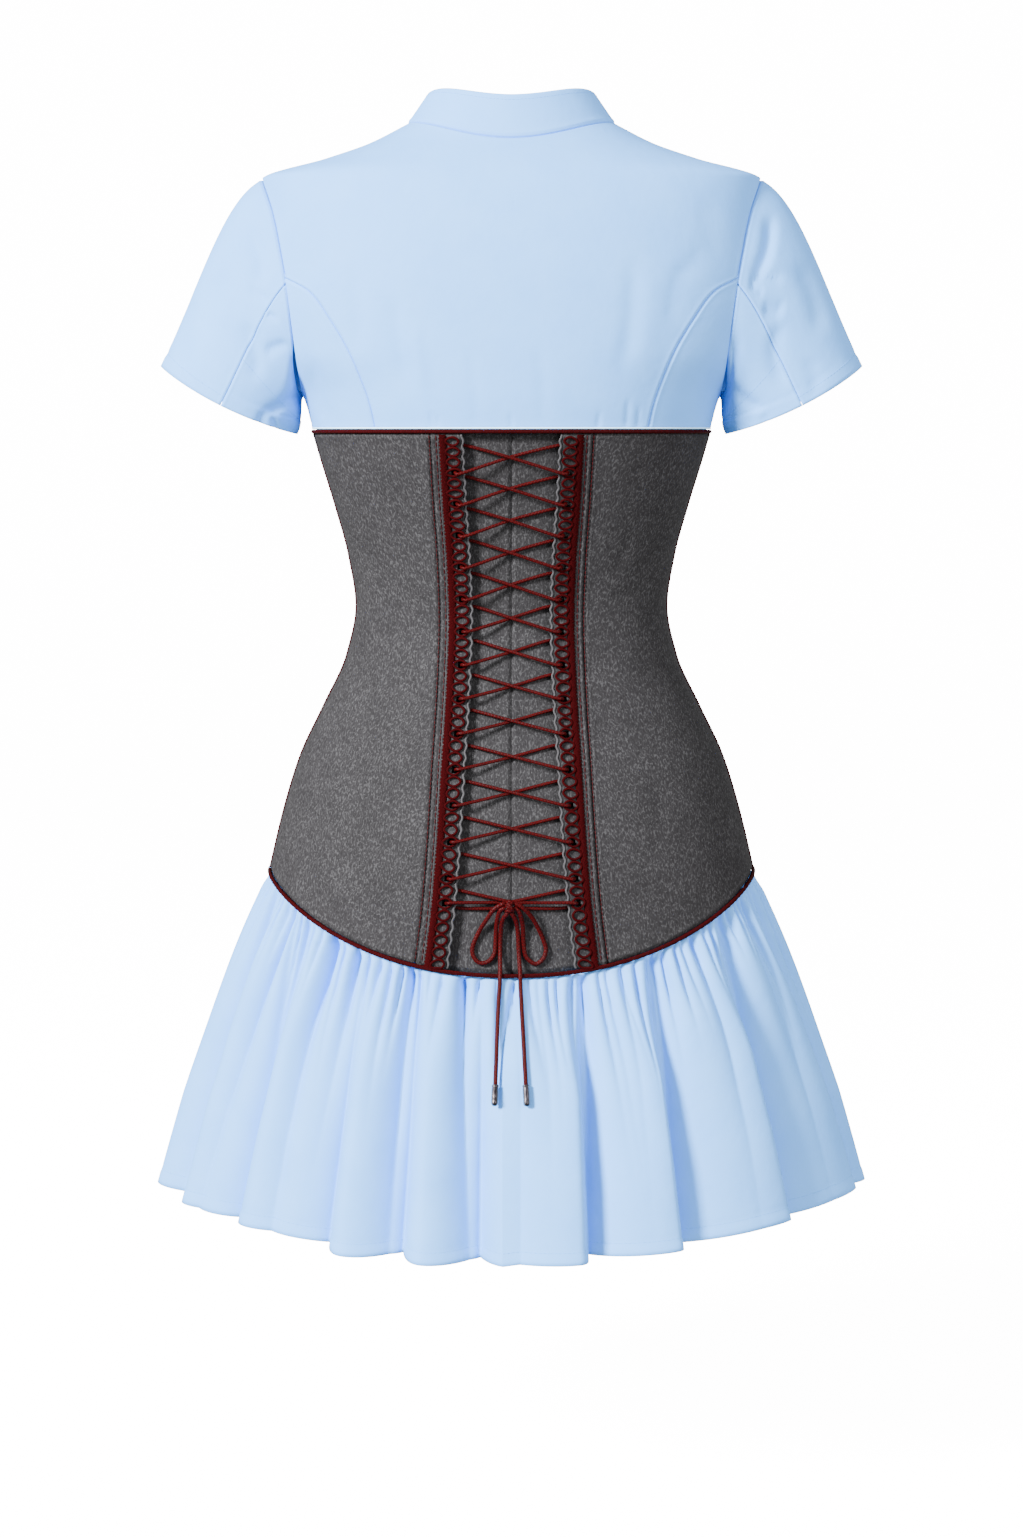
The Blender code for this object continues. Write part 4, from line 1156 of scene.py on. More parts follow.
def coons(edges: Sequence[Callable], u: Array, v: Array) -> tuple[Array, Array]:
    """Places inside four edges.

    Args:
        edges: Bottom, top, left and right, each a function of its own share.
        u: Shares from left to right.
        v: Shares from bottom to top.

    Returns:
        The two values of each place.
    """
    bottom, top, left, right = edges
    zero, one = np.zeros(1), np.ones(1)
    corner = (bottom(zero), bottom(one), top(zero), top(one))
    return tuple(
        (1 - v) * bottom(u)[k]
        + v * top(u)[k]
        + (1 - u) * left(v)[k]
        + u * right(v)[k]
        - (1 - u) * (1 - v) * corner[0][k]
        - u * (1 - v) * corner[1][k]
        - (1 - u) * v * corner[2][k]
        - u * v * corner[3][k]
        for k in (0, 1)
    )


class Stitch(NamedTuple):
    """A kind of stitch: its length, the gap to the next and the thread's radius."""

    length: float
    gap: float
    radius: float


@dataclass
class Neck:
    """The ring around the neck where the collar is sewn on."""

    half_width: float = 0.0780
    back: float = 0.062
    front: float = 0.076

    def point(self, swing: Array) -> Array:
        """The neckline's points, by their angle from the centre back."""
        sine, cosine = np.sin(np.radians(swing)), np.cos(np.radians(swing))
        depth = -np.where(cosine > 0, self.back, self.front) * cosine
        across = self.half_width * sine
        return np.stack([across, depth, height_over(across, depth)], axis=-1)


@dataclass
class Collar:
    """The stand collar: two layers of poplin turned at the top, open at the centre front."""

    neck: Neck
    top_half_width: float = 0.0620
    top_back: float = 0.054
    top_front: float = 0.060
    rise_back: float = 0.0320
    rise_side: float = 0.0235
    rise_front: float = 0.0300
    wall: float = 0.0020
    end_gap: float = 0.6
    stitch_drop: float = 0.0045
    stitch: Stitch = Stitch(0.0021, 0.0008, 0.00022)

    def grid(self) -> Array:
        """The collar's outer face, turned in at its foot and brim."""
        swing = np.linspace(-180 + self.end_gap, 180 - self.end_gap, 181)
        share = shares(0.03, 0.0022)
        foot = self.neck.point(swing)
        sine, cosine = np.sin(np.radians(swing)), np.cos(np.radians(swing))
        depth = -np.where(cosine > 0, self.top_back, self.top_front) * cosine
        end_rise = np.where(cosine > 0, self.rise_back, self.rise_front)
        rise = self.rise_side + (end_rise - self.rise_side) * cosine**2
        brim = np.stack([self.top_half_width * sine, depth, foot[:, 2] + rise], axis=-1)
        start = foot + np.array([0.0, 0.0, SEAM_GAP + TOUCH])
        grid = start + (brim - start) * share[:, None, None]
        grid = rolled(grid, "b", dip=0.0004, reach=0.0011, ridge=0.0004)
        return rolled(grid, "t", dip=0.0007, reach=0.0008, ridge=0.0)

    def build(self) -> list[bpy.types.Object]:
        """Makes the collar and its edge stitching."""
        grid = self.grid()
        piece = add_cloth("collar_cloth", tucked(grid, "b"), POPLIN, self.wall)
        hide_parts("collar")
        away = grid_uv(grid)[:, grid.shape[1] // 2, 1]
        row = int(np.argmin(np.abs(away - away[-1] + self.stitch_drop)))
        stitches = add_stitches("collar_stitching", grid[row], BLUE_THREAD, *self.stitch)
        declare_sheet(piece, grid, Held.STRETCHED, ["back_centre_cloth"], None)
        return [piece, stitches]


@dataclass
class Bodice:
    """The shirt bodice: centre and side panels, back and front, and the button stand."""

    neck: Neck
    wall: float = 0.0008
    step: float = 0.0027
    princess_share: float = 0.58
    neck_share: float = 0.42
    stand_half_width: float = 0.0130
    stand_wall: float = 0.0012
    stand_top: float = -0.0660
    stand_rows: int = 60
    stitch: Stitch = Stitch(0.0021, 0.0008, 0.0002)
    stitch_columns: tuple[int, int] = (3, -4)
    button_heights: tuple[float, ...] = (-0.0790, -0.1230, -0.1670, -0.2110)
    creases: tuple[Crease, ...] = (
        Crease((-0.1165, -0.105), (-0.1120, -0.170), 0.0068, -0.0012, 0.002),
        Crease((-0.0850, -0.135), (-0.0740, -0.195), 0.0061, -0.0014, -0.002, 0.3),
        Crease((-0.0700, -0.150), (-0.0640, -0.205), 0.0047, 0.0008),
        Crease((0.1390, -0.095), (0.1220, -0.118), 0.0068, -0.0008, 0.001),
        Crease((0.1240, -0.108), (0.1160, -0.150), 0.0061, -0.0009, -0.002, -0.3),
        Crease((0.0880, -0.105), (0.0800, -0.185), 0.0068, -0.0014, 0.003),
        Crease((0.1020, -0.110), (0.0960, -0.180), 0.0081, 0.0006, 0.002),
        Crease((-0.1400, -0.060), (-0.1480, -0.120), 0.0095, -0.0011, 0.003),
        Crease((0.1450, -0.055), (0.1500, -0.110), 0.0088, -0.0007, -0.003),
        Crease((-0.0300, -0.170), (-0.0240, -0.222), 0.0054, -0.0006),
        Crease((0.0200, -0.165), (0.0240, -0.222), 0.0054, -0.0006),
        Crease((-0.0590, -0.215), (-0.0575, -0.227), 0.0016, -0.0008),
        Crease((-0.0540, -0.218), (-0.0535, -0.227), 0.0015, -0.0007),
        Crease((-0.0010, -0.216), (0.0005, -0.227), 0.0015, -0.0007),
        Crease((0.0640, -0.215), (0.0630, -0.227), 0.0016, -0.0008),
        Crease((0.0850, -0.206), (0.0840, -0.227), 0.0019, -0.0009),
        Crease((0.0930, -0.211), (0.0925, -0.227), 0.0016, -0.0008),
        Crease((0.1480, -0.185), (0.1380, -0.222), 0.0054, -0.0007, 0.002),
        Crease((-0.1480, -0.180), (-0.1370, -0.222), 0.0054, -0.0011, -0.002),
    )

    def centre_grid(self, front: bool) -> Array:
        """Half of the centre panel on the right, from the centre line to the armhole."""
        side = 1 if front else -1
        neck_centre = self.neck.point(np.array(180.0 if front else 0.0))[2]

        def top(share: Array) -> tuple[Array, Array]:
            """The neckline, then the shoulder seam."""
            swing = 90 * np.minimum(share, self.neck_share) / self.neck_share
            place = self.neck.point(180 - swing if front else swing)
            out = np.maximum(0.0, share - self.neck_share) / (1 - self.neck_share)
            reach = SHOULDER_TIP.across - SEAM_GAP - self.neck.half_width
            on_neck = share <= self.neck_share
            across = np.where(on_neck, place[..., 0], self.neck.half_width + reach * out)
            over = height_over(across, side * SEAM_GAP / 2)
            return across, np.where(on_neck, np.minimum(place[..., 2], over), over)

        shoulder = [value.item() for value in top(np.ones(1))]

        def outer(share: Array) -> tuple[Array, Array]:
            """The princess seam, then the armhole."""
            low = BODICE_BOTTOM + (PRINCESS_TOP - BODICE_BOTTOM) * share / self.princess_share
            rise = np.clip((share - self.princess_share) / (1 - self.princess_share), 0, 1)
            rise = np.sin(rise * np.pi / 2)
            high = PRINCESS_TOP + (shoulder[1] - PRINCESS_TOP) * rise
            blend = (shoulder[0] - SHOULDER_TIP.across) * rise - SEAM_GAP * (1 - rise)
            is_low = share <= self.princess_share
            across = np.where(
                is_low, across_of(PRINCESS, low) - SEAM_GAP, across_of(ARMHOLE, high) + blend
            )
            return across, np.where(is_low, low, high)

        def bottom(share: Array) -> tuple[Array, Array]:
            """The seam at the corset."""
            return outer(np.zeros(1))[0] * share, np.full(np.shape(share), BODICE_BOTTOM)

        def centre(share: Array) -> tuple[Array, Array]:
            """The centre line."""
            rise = BODICE_BOTTOM + (neck_centre - BODICE_BOTTOM) * share
            return np.zeros(np.shape(share)), rise

        u = shares(0.17, self.step, low=front)[None, :]
        v = np.sort(np.append(shares(0.22, self.step), self.princess_share))[:, None]
        across, height = coons((bottom, top, centre, outer), u, v)
        grid = body_point(turn_of(across, height, front), height)
        if front:
            grid[:, 0, 0] = SEAM_GAP / 2
        return grid

    def side_grid(self, front: bool) -> Array:
        """The side panel on the right, from the princess seam to the side seam."""
        gap_turn = math.degrees(SEAM_GAP / 2 / 0.11)

        def seam(share: Array) -> tuple[Array, Array]:
            """The princess seam."""
            height = BODICE_BOTTOM + (PRINCESS_TOP - BODICE_BOTTOM) * share
            return turn_of(across_of(PRINCESS, height) + SEAM_GAP, height), height

        def side(share: Array) -> tuple[Array, Array]:
            """The side seam."""
            rise = BODICE_BOTTOM + (UNDERARM_HEIGHT - BODICE_BOTTOM) * share
            return np.full(np.shape(share), 90 - gap_turn), rise

        start = seam(np.zeros(1))[0].item()
        seam_top = seam(np.ones(1))[0].item()

        def bottom(share: Array) -> tuple[Array, Array]:
            """The seam at the corset."""
            turn = start + (90 - gap_turn - start) * share
            return turn, np.full(np.shape(share), BODICE_BOTTOM)

        def top(share: Array) -> tuple[Array, Array]:
            """The armhole's lower part."""
            fall = np.clip(np.cos(share * np.pi / 2), 0, 1)
            height = UNDERARM_HEIGHT + (PRINCESS_TOP - UNDERARM_HEIGHT) * fall**1.2
            turn = np.minimum(turn_of(across_of(ARMHOLE, height), height), 90 - gap_turn)
            joined_turn = turn * (1 - fall) + np.minimum(turn, seam_top) * fall
            return np.where(share < 0.02, joined_turn, turn), height

        u, v = shares(0.09, self.step)[None, :], shares(0.11, self.step)[:, None]
        turn, height = coons((bottom, top, seam, side), u, v)
        return body_point(180 - turn if front else turn, height)

    def all_creases(self) -> list[Crease]:
        """The creases seen from behind and similar ones in front."""
        return [*self.creases, *(crease.twin() for crease in self.creases)]

    def finish_panel(self, name: str, node: str, grid: Array, edges: str) -> bpy.types.Object:
        """Presses creases and sewn edges into a panel and makes it.

        Args:
            name: The piece's name.
            node: The solid that it stands for.
            grid: Its outer face.
            edges: Which edges are sewn.

        Returns:
            The piece.
        """
        grid = rolled(creased(grid, self.all_creases()), edges, dip=0.0006, reach=0.0010)
        piece = add_cloth(name, tucked(grid, edges), POPLIN, self.wall)
        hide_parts(node)
        declare_sheet(piece, grid, Held.STRETCHED, ["piping_top_cord"])
        return piece

    def build_panels(self) -> list[bpy.types.Object]:
        """Makes the seven panels."""
        half = self.centre_grid(False)
        made = [
            self.finish_panel(
                "back_centre_cloth",
                "bodice_back_centre",
                np.concatenate([mirrored(half[:, 1:]), half], axis=1),
                "lrbt",
            )
        ]
        front = self.centre_grid(True)[:, ::-1]
        backs = (("back", self.side_grid(False)), ("front", self.side_grid(True)[:, ::-1]))
        for side in Side:
            is_right = side is Side.RIGHT
            grid = front if is_right else mirrored(front)
            node = f"bodice_front_{side.label}"
            made.append(self.finish_panel(f"front_{side.label}_cloth", node, grid, "lrbt"))
            for where, panel in backs:
                grid = panel if is_right else mirrored(panel)
                node = f"bodice_side_{where}_{side.label}"
                name = f"side_{where}_{side.label}_cloth"
                made.append(self.finish_panel(name, node, grid, "lrbt"))
        return made

    def build_stand(self) -> list[bpy.types.Object]:
        """Makes the button stand with its edge stitching."""
        height = np.linspace(BODICE_BOTTOM, self.stand_top, self.stand_rows)[:, None]
        across = np.linspace(self.stand_half_width, -self.stand_half_width, 21)[None, :]
        across, height = np.broadcast_arrays(across, height)
        turn = turn_of(across, height, front=True)
        grid = body_point(turn, height, TOUCH + SEAM_GAP)
        face = rolled(body_point(turn, height, TOUCH + SEAM_GAP + self.stand_wall), "lrt")
        piece = add_cloth("shirt_placket_cloth", face, POPLIN, self.stand_wall)
        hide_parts("shirt_placket")
        rows = [
            add_stitches(
                f"placket_stitching_{number}", face[:, column], BLUE_THREAD, *self.stitch
            )
            for number, column in enumerate(self.stitch_columns, 1)
        ]
        declare_sheet(piece, grid, Held.STRETCHED, ["front_right_cloth"])
        return [piece, *rows]

    def build_buttons(self) -> list[bpy.types.Object]:
        """Makes the four buttons, each sewn on through four holes."""
        return [
            Button(number, body_point(180.0, height, 0.0), height).build()
            for number, height in enumerate(self.button_heights, 1)
        ]

    def build(self) -> list[bpy.types.Object]:
        """Makes the whole bodice."""
        return [*self.build_panels(), *self.build_stand(), *sum(self.build_buttons(), [])]


@dataclass
class Button:
    """A round shirt button with a raised rim, a dished middle and its sewing."""

    number: int
    foot: Array
    height: float
    radius: float = 0.0056
    wall: float = 0.0024
    lift: float = 0.0026
    # Share of the radius, share of the wall
    profile: tuple[tuple[float, float], ...] = (
        (0.70, 0.00), (0.93, 0.10), (1.00, 0.42), (0.97, 0.80), (0.88, 1.00),
        (0.78, 0.97), (0.68, 0.74), (0.50, 0.66), (0.25, 0.64),
    )
    around: int = 32
    hole_reach: float = 0.0011
    thread_radius: float = 0.00025
    # Where the thread crosses and where it ends, as shares of the wall
    thread_rise: tuple[float, float] = (0.86, 0.5)

    def build(self) -> list[bpy.types.Object]:
        """Makes the button and the thread in its holes."""
        outward = unit(body_point(180.0, self.height, 0.01) - self.foot)
        across = np.array([1.0, 0.0, 0.0])
        up = np.cross(outward, across)
        base = self.foot + outward * self.lift
        swing = np.arange(self.around) * 2 * np.pi / self.around
        ring = across * np.cos(swing)[:, None] + up * np.sin(swing)[:, None]
        points = np.vstack(
            [base + ring * self.radius * r + outward * self.wall * h for r, h in self.profile]
        )
        faces = turned_faces(len(self.profile), self.around)
        uv = np.stack([(points - base) @ across, (points - base) @ up], axis=-1)
        body = new_object(
            f"pearl_button_{self.number}", mesh_of("button", points, faces, uv), PEARL
        )
        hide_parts(f"button_{self.number}")
        parts = []
        for one, other in ((1, 1), (1, -1)):
            reach = (across * one + up * other) * self.hole_reach
            top, low = (outward * self.wall * share for share in self.thread_rise)
            marks = [
                base + reach * share + rise
                for share, rise in ((-1.0, low), (-0.6, top), (0.6, top), (1.0, low))
            ]
            parts.append(tube(smooth_path(np.array(marks), 4), self.thread_radius, around=6))
        sewing = add_tubes(f"button_sewing_{self.number}", parts, BLUE_THREAD)
        return [body, sewing]


@dataclass
class Sleeve:
    """A short set-in sleeve in two pieces, an upper and an under one."""

    side: Side
    axis: tuple[float, ...] = (0.447, 0.0, -0.894)
    hem_outward: tuple[float, ...] = (0.894, 0.0, 0.447)
    cap_direction: tuple[float, ...] = (0.91, 0.0, -0.41)
    hem_centre: tuple[float, ...] = (0.2142, 0.0, -0.2054)
    hem_half_width: float = 0.0572
    hem_half_depth: float = 0.0470
    hem_sag: float = 0.0052
    start: float = 0.0003
    gap: float = 0.10
    wall: float = 0.0008
    hem_turn: float = 0.0110
    hem_band: float = 0.0004
    # Depth and width of the pressed line above the hem
    hem_press: tuple[float, float] = (0.00045, 0.0009)
    stitch: Stitch = Stitch(0.0023, 0.0009, 0.00024)
    tuck: tuple[float, float] = (0.0022, 0.0016)
    creases: tuple[Crease, ...] = ()

    @staticmethod
    def armhole(angle: Array) -> Array:
        """The armhole's points: 0 is the underarm, 90 the back, 180 the shoulder tip."""
        middle = (UNDERARM_HEIGHT + SHOULDER_TIP.height) / 2
        half = (SHOULDER_TIP.height - UNDERARM_HEIGHT) / 2
        height = middle - half * np.cos(np.radians(angle))
        across = across_of(ARMHOLE, height)
        back = turn_of(across, height)
        front = np.sin(np.radians(angle)) < 0
        return body_point(np.where(front, 180 - back, back), height)

    def point(self, angle: Array, share: Array) -> Array:
        """Points of the right sleeve, by the armhole's angle and the share to the hem."""
        angle, share = np.broadcast_arrays(np.asarray(angle, float), np.asarray(share, float))
        rad = np.radians(angle)[..., None]
        axis, outward = np.array(self.axis), np.array(self.hem_outward)
        cap = np.sin(rad / 2) ** 2
        lead = unit(axis * (1 - cap) + np.array(self.cap_direction) * cap)
        start = self.armhole(angle) + lead * self.start + np.array([self.start / 2, 0, 0])
        hem = (
            np.array(self.hem_centre)
            - outward * (self.hem_half_width * np.cos(rad))
            + np.array([0.0, -1.0, 0.0]) * (self.hem_half_depth * np.sin(rad))
            + axis * (self.hem_sag * np.sin(rad) ** 2)
        )
        reach = np.linalg.norm(hem - start, axis=-1, keepdims=True)
        first, second = start + lead * reach * 0.20, hem - axis * reach * 0.42
        t = share[..., None]
        return (
            start * (1 - t) ** 3
            + first * 3 * (1 - t) ** 2 * t
            + second * 3 * (1 - t) * t**2
            + hem * t**3
        )

    def grid(self, low: float, high: float) -> Array:
        """One sleeve piece, from hem to armhole, with its creases and turned hem."""
        angle = low + self.gap + (high - low - 2 * self.gap) * shares(0.17, 0.0026)
        share = 1 - shares(0.13, 0.0024, low=False)
        grid = self.point(angle[None, :], share[:, None])
        if self.side is Side.LEFT:
            grid = mirrored(grid)
        grid = creased(grid, self.creases)
        away = grid_uv(grid)[..., 1]
        normals = grid_normals(grid)
        fall = smoothstep(self.hem_turn - 0.0012, self.hem_turn + 0.0006, away)
        depth, width = self.hem_press
        press = -depth * np.exp(-(((away - self.hem_turn) / width) ** 2))
        grid = grid + normals * (self.hem_band * (1 - fall) + press)[..., None]
        grid = rolled(grid, "lr", dip=0.0005, reach=0.0008)
        grid = rolled(grid, "t", dip=0.0003, reach=0.0009, ridge=0.0003)
        way, (out, deep) = unit(grid[-1] - grid[-3]), self.tuck
        tuck = grid[-1] + way * out - normals[-1] * deep
        return np.concatenate([grid, tuck[None]], axis=0)

    def build(self) -> list[bpy.types.Object]:
        """Makes both pieces and the hem's stitching."""
        made = []
        for name, low, high in (("upper", 90.0, 270.0), ("under", -90.0, 90.0)):
            grid = self.grid(low, high)
            label = f"sleeve_{name}_{self.side.label}"
            piece = add_cloth(f"{label}_cloth", grid, POPLIN, self.wall)
            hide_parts(label)
            away = grid_uv(grid)[:, grid.shape[1] // 2, 1]
            row = int(np.argmin(np.abs(away - self.hem_turn)))
            stitches = add_stitches(f"{label}_stitching", grid[row], BLUE_THREAD, *self.stitch)
            declare_sheet(piece, grid, Held.STRETCHED, ["back_centre_cloth"], None)
            made += [piece, stitches]
        return made


LEFT_SLEEVE_CREASES = (
    Crease((-0.1815, -0.143), (-0.1725, -0.146), 0.0016, -0.0022),
    Crease((-0.1830, -0.1715), (-0.1655, -0.1640), 0.0030, -0.0025, 0.002, 0.4),
    Crease((-0.1600, -0.165), (-0.1540, -0.212), 0.0035, -0.0029, -0.001, 0.3),
    Crease((-0.1590, -0.201), (-0.1840, -0.216), 0.0035, -0.0029, 0.002, 0.3),
    Crease((-0.1785, -0.218), (-0.1755, -0.229), 0.0016, -0.0018),
    Crease((-0.1850, -0.214), (-0.1900, -0.231), 0.0030, -0.0022),
    Crease((-0.1940, -0.124), (-0.1800, -0.133), 0.0030, -0.0016),
    Crease((-0.1980, -0.150), (-0.1900, -0.190), 0.0060, -0.0025, 0.004),
    Crease((-0.2150, -0.110), (-0.2300, -0.160), 0.0080, -0.0022, -0.004),
    Crease((-0.1950, -0.078), (-0.1850, -0.120), 0.0060, -0.0025, 0.003),
    Crease((-0.2400, -0.130), (-0.2500, -0.165), 0.0060, -0.0014, 0.003),
)
RIGHT_SLEEVE_CREASES = (
    Crease((0.1935, -0.070), (0.1805, -0.118), 0.0045, -0.0040, 0.004, 0.3),
    Crease((0.1760, -0.117), (0.2010, -0.116), 0.0030, -0.0023, 0.002, 0.4),
    Crease((0.1755, -0.121), (0.1860, -0.128), 0.0022, -0.0022),
    Crease((0.1860, -0.138), (0.2020, -0.139), 0.0050, -0.0025, -0.002),
    Crease((0.1650, -0.160), (0.1560, -0.212), 0.0035, -0.0029, 0.001, -0.3),
    Crease((0.1640, -0.195), (0.1860, -0.213), 0.0035, -0.0027, -0.002, -0.3),
    Crease((0.1980, -0.150), (0.2010, -0.195), 0.0060, -0.0025, -0.004),
    Crease((0.2140, -0.105), (0.2300, -0.155), 0.0080, -0.0022, 0.004),
    Crease((0.1880, -0.216), (0.1900, -0.230), 0.0022, -0.0016),
    Crease((0.2200, -0.175), (0.2250, -0.205), 0.0060, -0.0014, 0.003),
)


class StitchRow(NamedTuple):
    """A row of stitches beside the loops: its name, place, kind of stitch and lift."""

    label: str
    offset: float
    stitch: Stitch
    lift: float


class StripEdge(NamedTuple):
    """An edge of a lacing strip: its name, place, radius and how deep it is scalloped."""

    label: str
    offset: float
    radius: float
    wave: float


@dataclass
class Corset:
    """The denim corset: its panels, the lacing strips and the panels behind the lacing."""

    wall: float = 0.0012
    modesty_wall: float = 0.0012
    placket_wall: float = 0.0018
    recess: float = 0.0062
    overhang: float = 0.0015
    placket_width: float = 0.0240
    side_clearance: float = 0.0014
    slit: tuple[float, float, float] = (0.0019, 0.0081, 0.0023)
    ridge: tuple[float, float] = (0.0184, 0.0222)
    # A height near the lower piping, where a row's turn is read
    low_place: float = -0.62
    row_start: float = 0.003
    row_rise: float = 0.004
    edge_rise: float = 0.003
    centre_row: float = -0.0030
    centre_stitch: Stitch = Stitch(0.0024, 0.0012, 0.00022)
    stitch_rows: tuple[StitchRow, ...] = (
        StitchRow("outer", 0.0228, Stitch(0.0022, 0.0011, 0.00036), 0.0004),
        StitchRow("inner", 0.0178, Stitch(0.0046, 0.0002, 0.00034), 0.0006),
    )
    strip_edges: tuple[StripEdge, ...] = (
        StripEdge("scalloped", -0.0014, 0.00085, 0.0006),
        StripEdge("straight", 0.0167, 0.00032, 0.0),
    )
    creases: tuple[Crease, ...] = (
        Crease((0.0900, -0.300), (0.0750, -0.335), 0.0040, -0.0007, 0.002),
        Crease((-0.0850, -0.290), (-0.0740, -0.330), 0.0040, -0.0007, -0.002),
        Crease((0.1080, -0.345), (0.0700, -0.352), 0.0035, -0.0007, 0.002),
        Crease((-0.1050, -0.352), (-0.0720, -0.360), 0.0035, -0.0007, -0.002),
        Crease((-0.1100, -0.385), (-0.0800, -0.378), 0.0035, -0.0006, 0.001),
        Crease((0.1120, -0.385), (0.0850, -0.380), 0.0035, -0.0006, 0.001),
        Crease((0.1100, -0.470), (0.1040, -0.550), 0.0080, -0.0008, 0.003),
        Crease((-0.1150, -0.460), (-0.1080, -0.545), 0.0080, -0.0008, 0.003),
    )

    @staticmethod
    def tip_turn(offset: float) -> Callable[[Array], Array]:
        """A function giving the turn this far out from the loops' tips."""
        return lambda height: turn_of(across_of(LOOP_TIPS, height) + offset, height)

    @staticmethod
    def row_grid(start: Callable, end: Callable, u: Array, v: Array, out: float = 0.0) -> Array:
        """A grid between two upright edges, from the lower piping to the upper one.

        Args:
            start: The turn of the left edge at a height.
            end: The turn of the right edge at a height.
            u: Shares from left to right.
            v: Shares from bottom to top.
            out: How far it is moved out.

        Returns:
            The grid.
        """
        u, v = np.broadcast_arrays(u[None, :], v[:, None])
        height = CORSET_TOP + (CORSET_BOTTOM_SIDE - CORSET_TOP) * (1 - v)
        for _ in range(6):
            turn = start(height) + (end(height) - start(height)) * u
            low = corset_bottom(turn) + EDGE_CLEARANCE
            height = low + (CORSET_TOP - EDGE_CLEARANCE - low) * v
        return body_point(turn, height, out)

    def add_pair(
        self,
        name: str,
        node: str,
        grid: Array,
        edges: str,
        wall: float,
        steps: Sequence[tuple[float, float]] = SEAM_TUCK,
    ) -> list[bpy.types.Object]:
        """Makes a panel and its left twin from the right one's grid."""
        made = []
        creases = [*self.creases, *(crease.twin() for crease in self.creases)]
        for side in Side:
            shape = grid if side is Side.RIGHT else mirrored(grid)
            sewn = edges if side is Side.RIGHT else edges.translate(str.maketrans("lr", "rl"))
            shape = creased(shape, creases)
            shape = rolled(shape, sewn, dip=0.0008, reach=0.0012, ridge=0.0004)
            tuck = tucked(shape, sewn, steps)
            piece = add_cloth(f"{name}_{side.label}", tuck, DENIM, wall)
            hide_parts(f"{node}_{side.label}")
            declare_sheet(piece, shape, Held.STRETCHED, ["piping_top_cord"])
            made.append(piece)
        return made

    def placket_grid(self) -> Array:
        """The folded strip under the loops, its free edge in soft scallops."""
        width = self.placket_width
        u = np.concatenate([[0.0, 0.0004, 0.0010], np.linspace(0.0019, width - 0.0030, 26)])
        u = np.concatenate([u, width - np.array([0.0024, 0.0018, 0.0012, 0.0006, 0.0])])
        rows = shares(0.385, 0.0010)
        offset, v = np.broadcast_arrays(u[None, :] - self.overhang, rows[:, None])
        height = CORSET_TOP + (CORSET_BOTTOM_SIDE - CORSET_TOP) * (1 - v)
        for _ in range(8):
            turn = turn_of(across_of(LOOP_TIPS, height) + offset, height)
            low = corset_bottom(turn) + EDGE_CLEARANCE
            height = low + (CORSET_TOP - EDGE_CLEARANCE - low) * v
        order = Lacing.order_at(height)
        scallop = 0.0006 * np.cos(2 * np.pi * order) * np.exp(-(offset + self.overhang) / 0.002)
        turn = turn_of(across_of(LOOP_TIPS, height) + offset - scallop, height)
        raised = smoothstep(self.ridge[0], self.ridge[0] + 0.0012, offset)
        raised = raised * (1 - smoothstep(self.ridge[1] - 0.0014, self.ridge[1], offset))
        edge = np.exp(-((offset + self.overhang) / 0.0009) ** 2)
        return body_point(turn, height, 0.0007 * raised - 0.0006 * edge)

    def build_plackets(self) -> list[bpy.types.Object]:
        """Makes both lacing strips, with a slit behind each loop that takes the lace."""
        made = []
        right = self.placket_grid()
        heights = [Lacing.loop_height(Lacing.loop_of(c)) for c in range(Lacing.CROSSINGS + 1)]
        for side in Side:
            grid = right if side is Side.RIGHT else mirrored(right)
            edges = "bt" + ("r" if side is Side.RIGHT else "l")
            grid = tucked(rolled(grid, edges, reach=0.0012), edges)
            rows, columns = grid.shape[:2]
            faces = np.array(grid_faces(rows, columns))
            middle = grid.reshape(-1, 3)[faces].mean(axis=1)
            away = np.abs(middle[:, 0]) - across_of(LOOP_TIPS, middle[:, 2])
            near = np.min(np.abs(middle[:, 2][:, None] - np.array(heights)[None, :]), axis=1)
            gone = (away > self.slit[0]) & (away < self.slit[1]) & (near < self.slit[2])
            mesh = mesh_of("placket", grid, faces[~gone].tolist(), grid_uv(grid))
            piece = new_object(f"lacing_strip_{side.label}", mesh, DENIM)
            solidify = piece.modifiers.new("wall", "SOLIDIFY")
            solidify.thickness = self.placket_wall
            solidify.offset = -1.0
            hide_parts(f"lacing_placket_{side.label}")
            declare_sheet(piece, grid, Held.STRETCHED, ["piping_top_cord"])
            made.append(piece)
        return made

    def row_heights(self, offset: float, rise: float, count: int) -> Array:
        """Heights down a row beside the tape, from the top piping to above the lower one."""
        turn = self.tip_turn(offset)(np.full(1, self.low_place))
        low = corset_bottom(turn).item() + rise
        return np.linspace(CORSET_TOP - self.row_start, low, count)

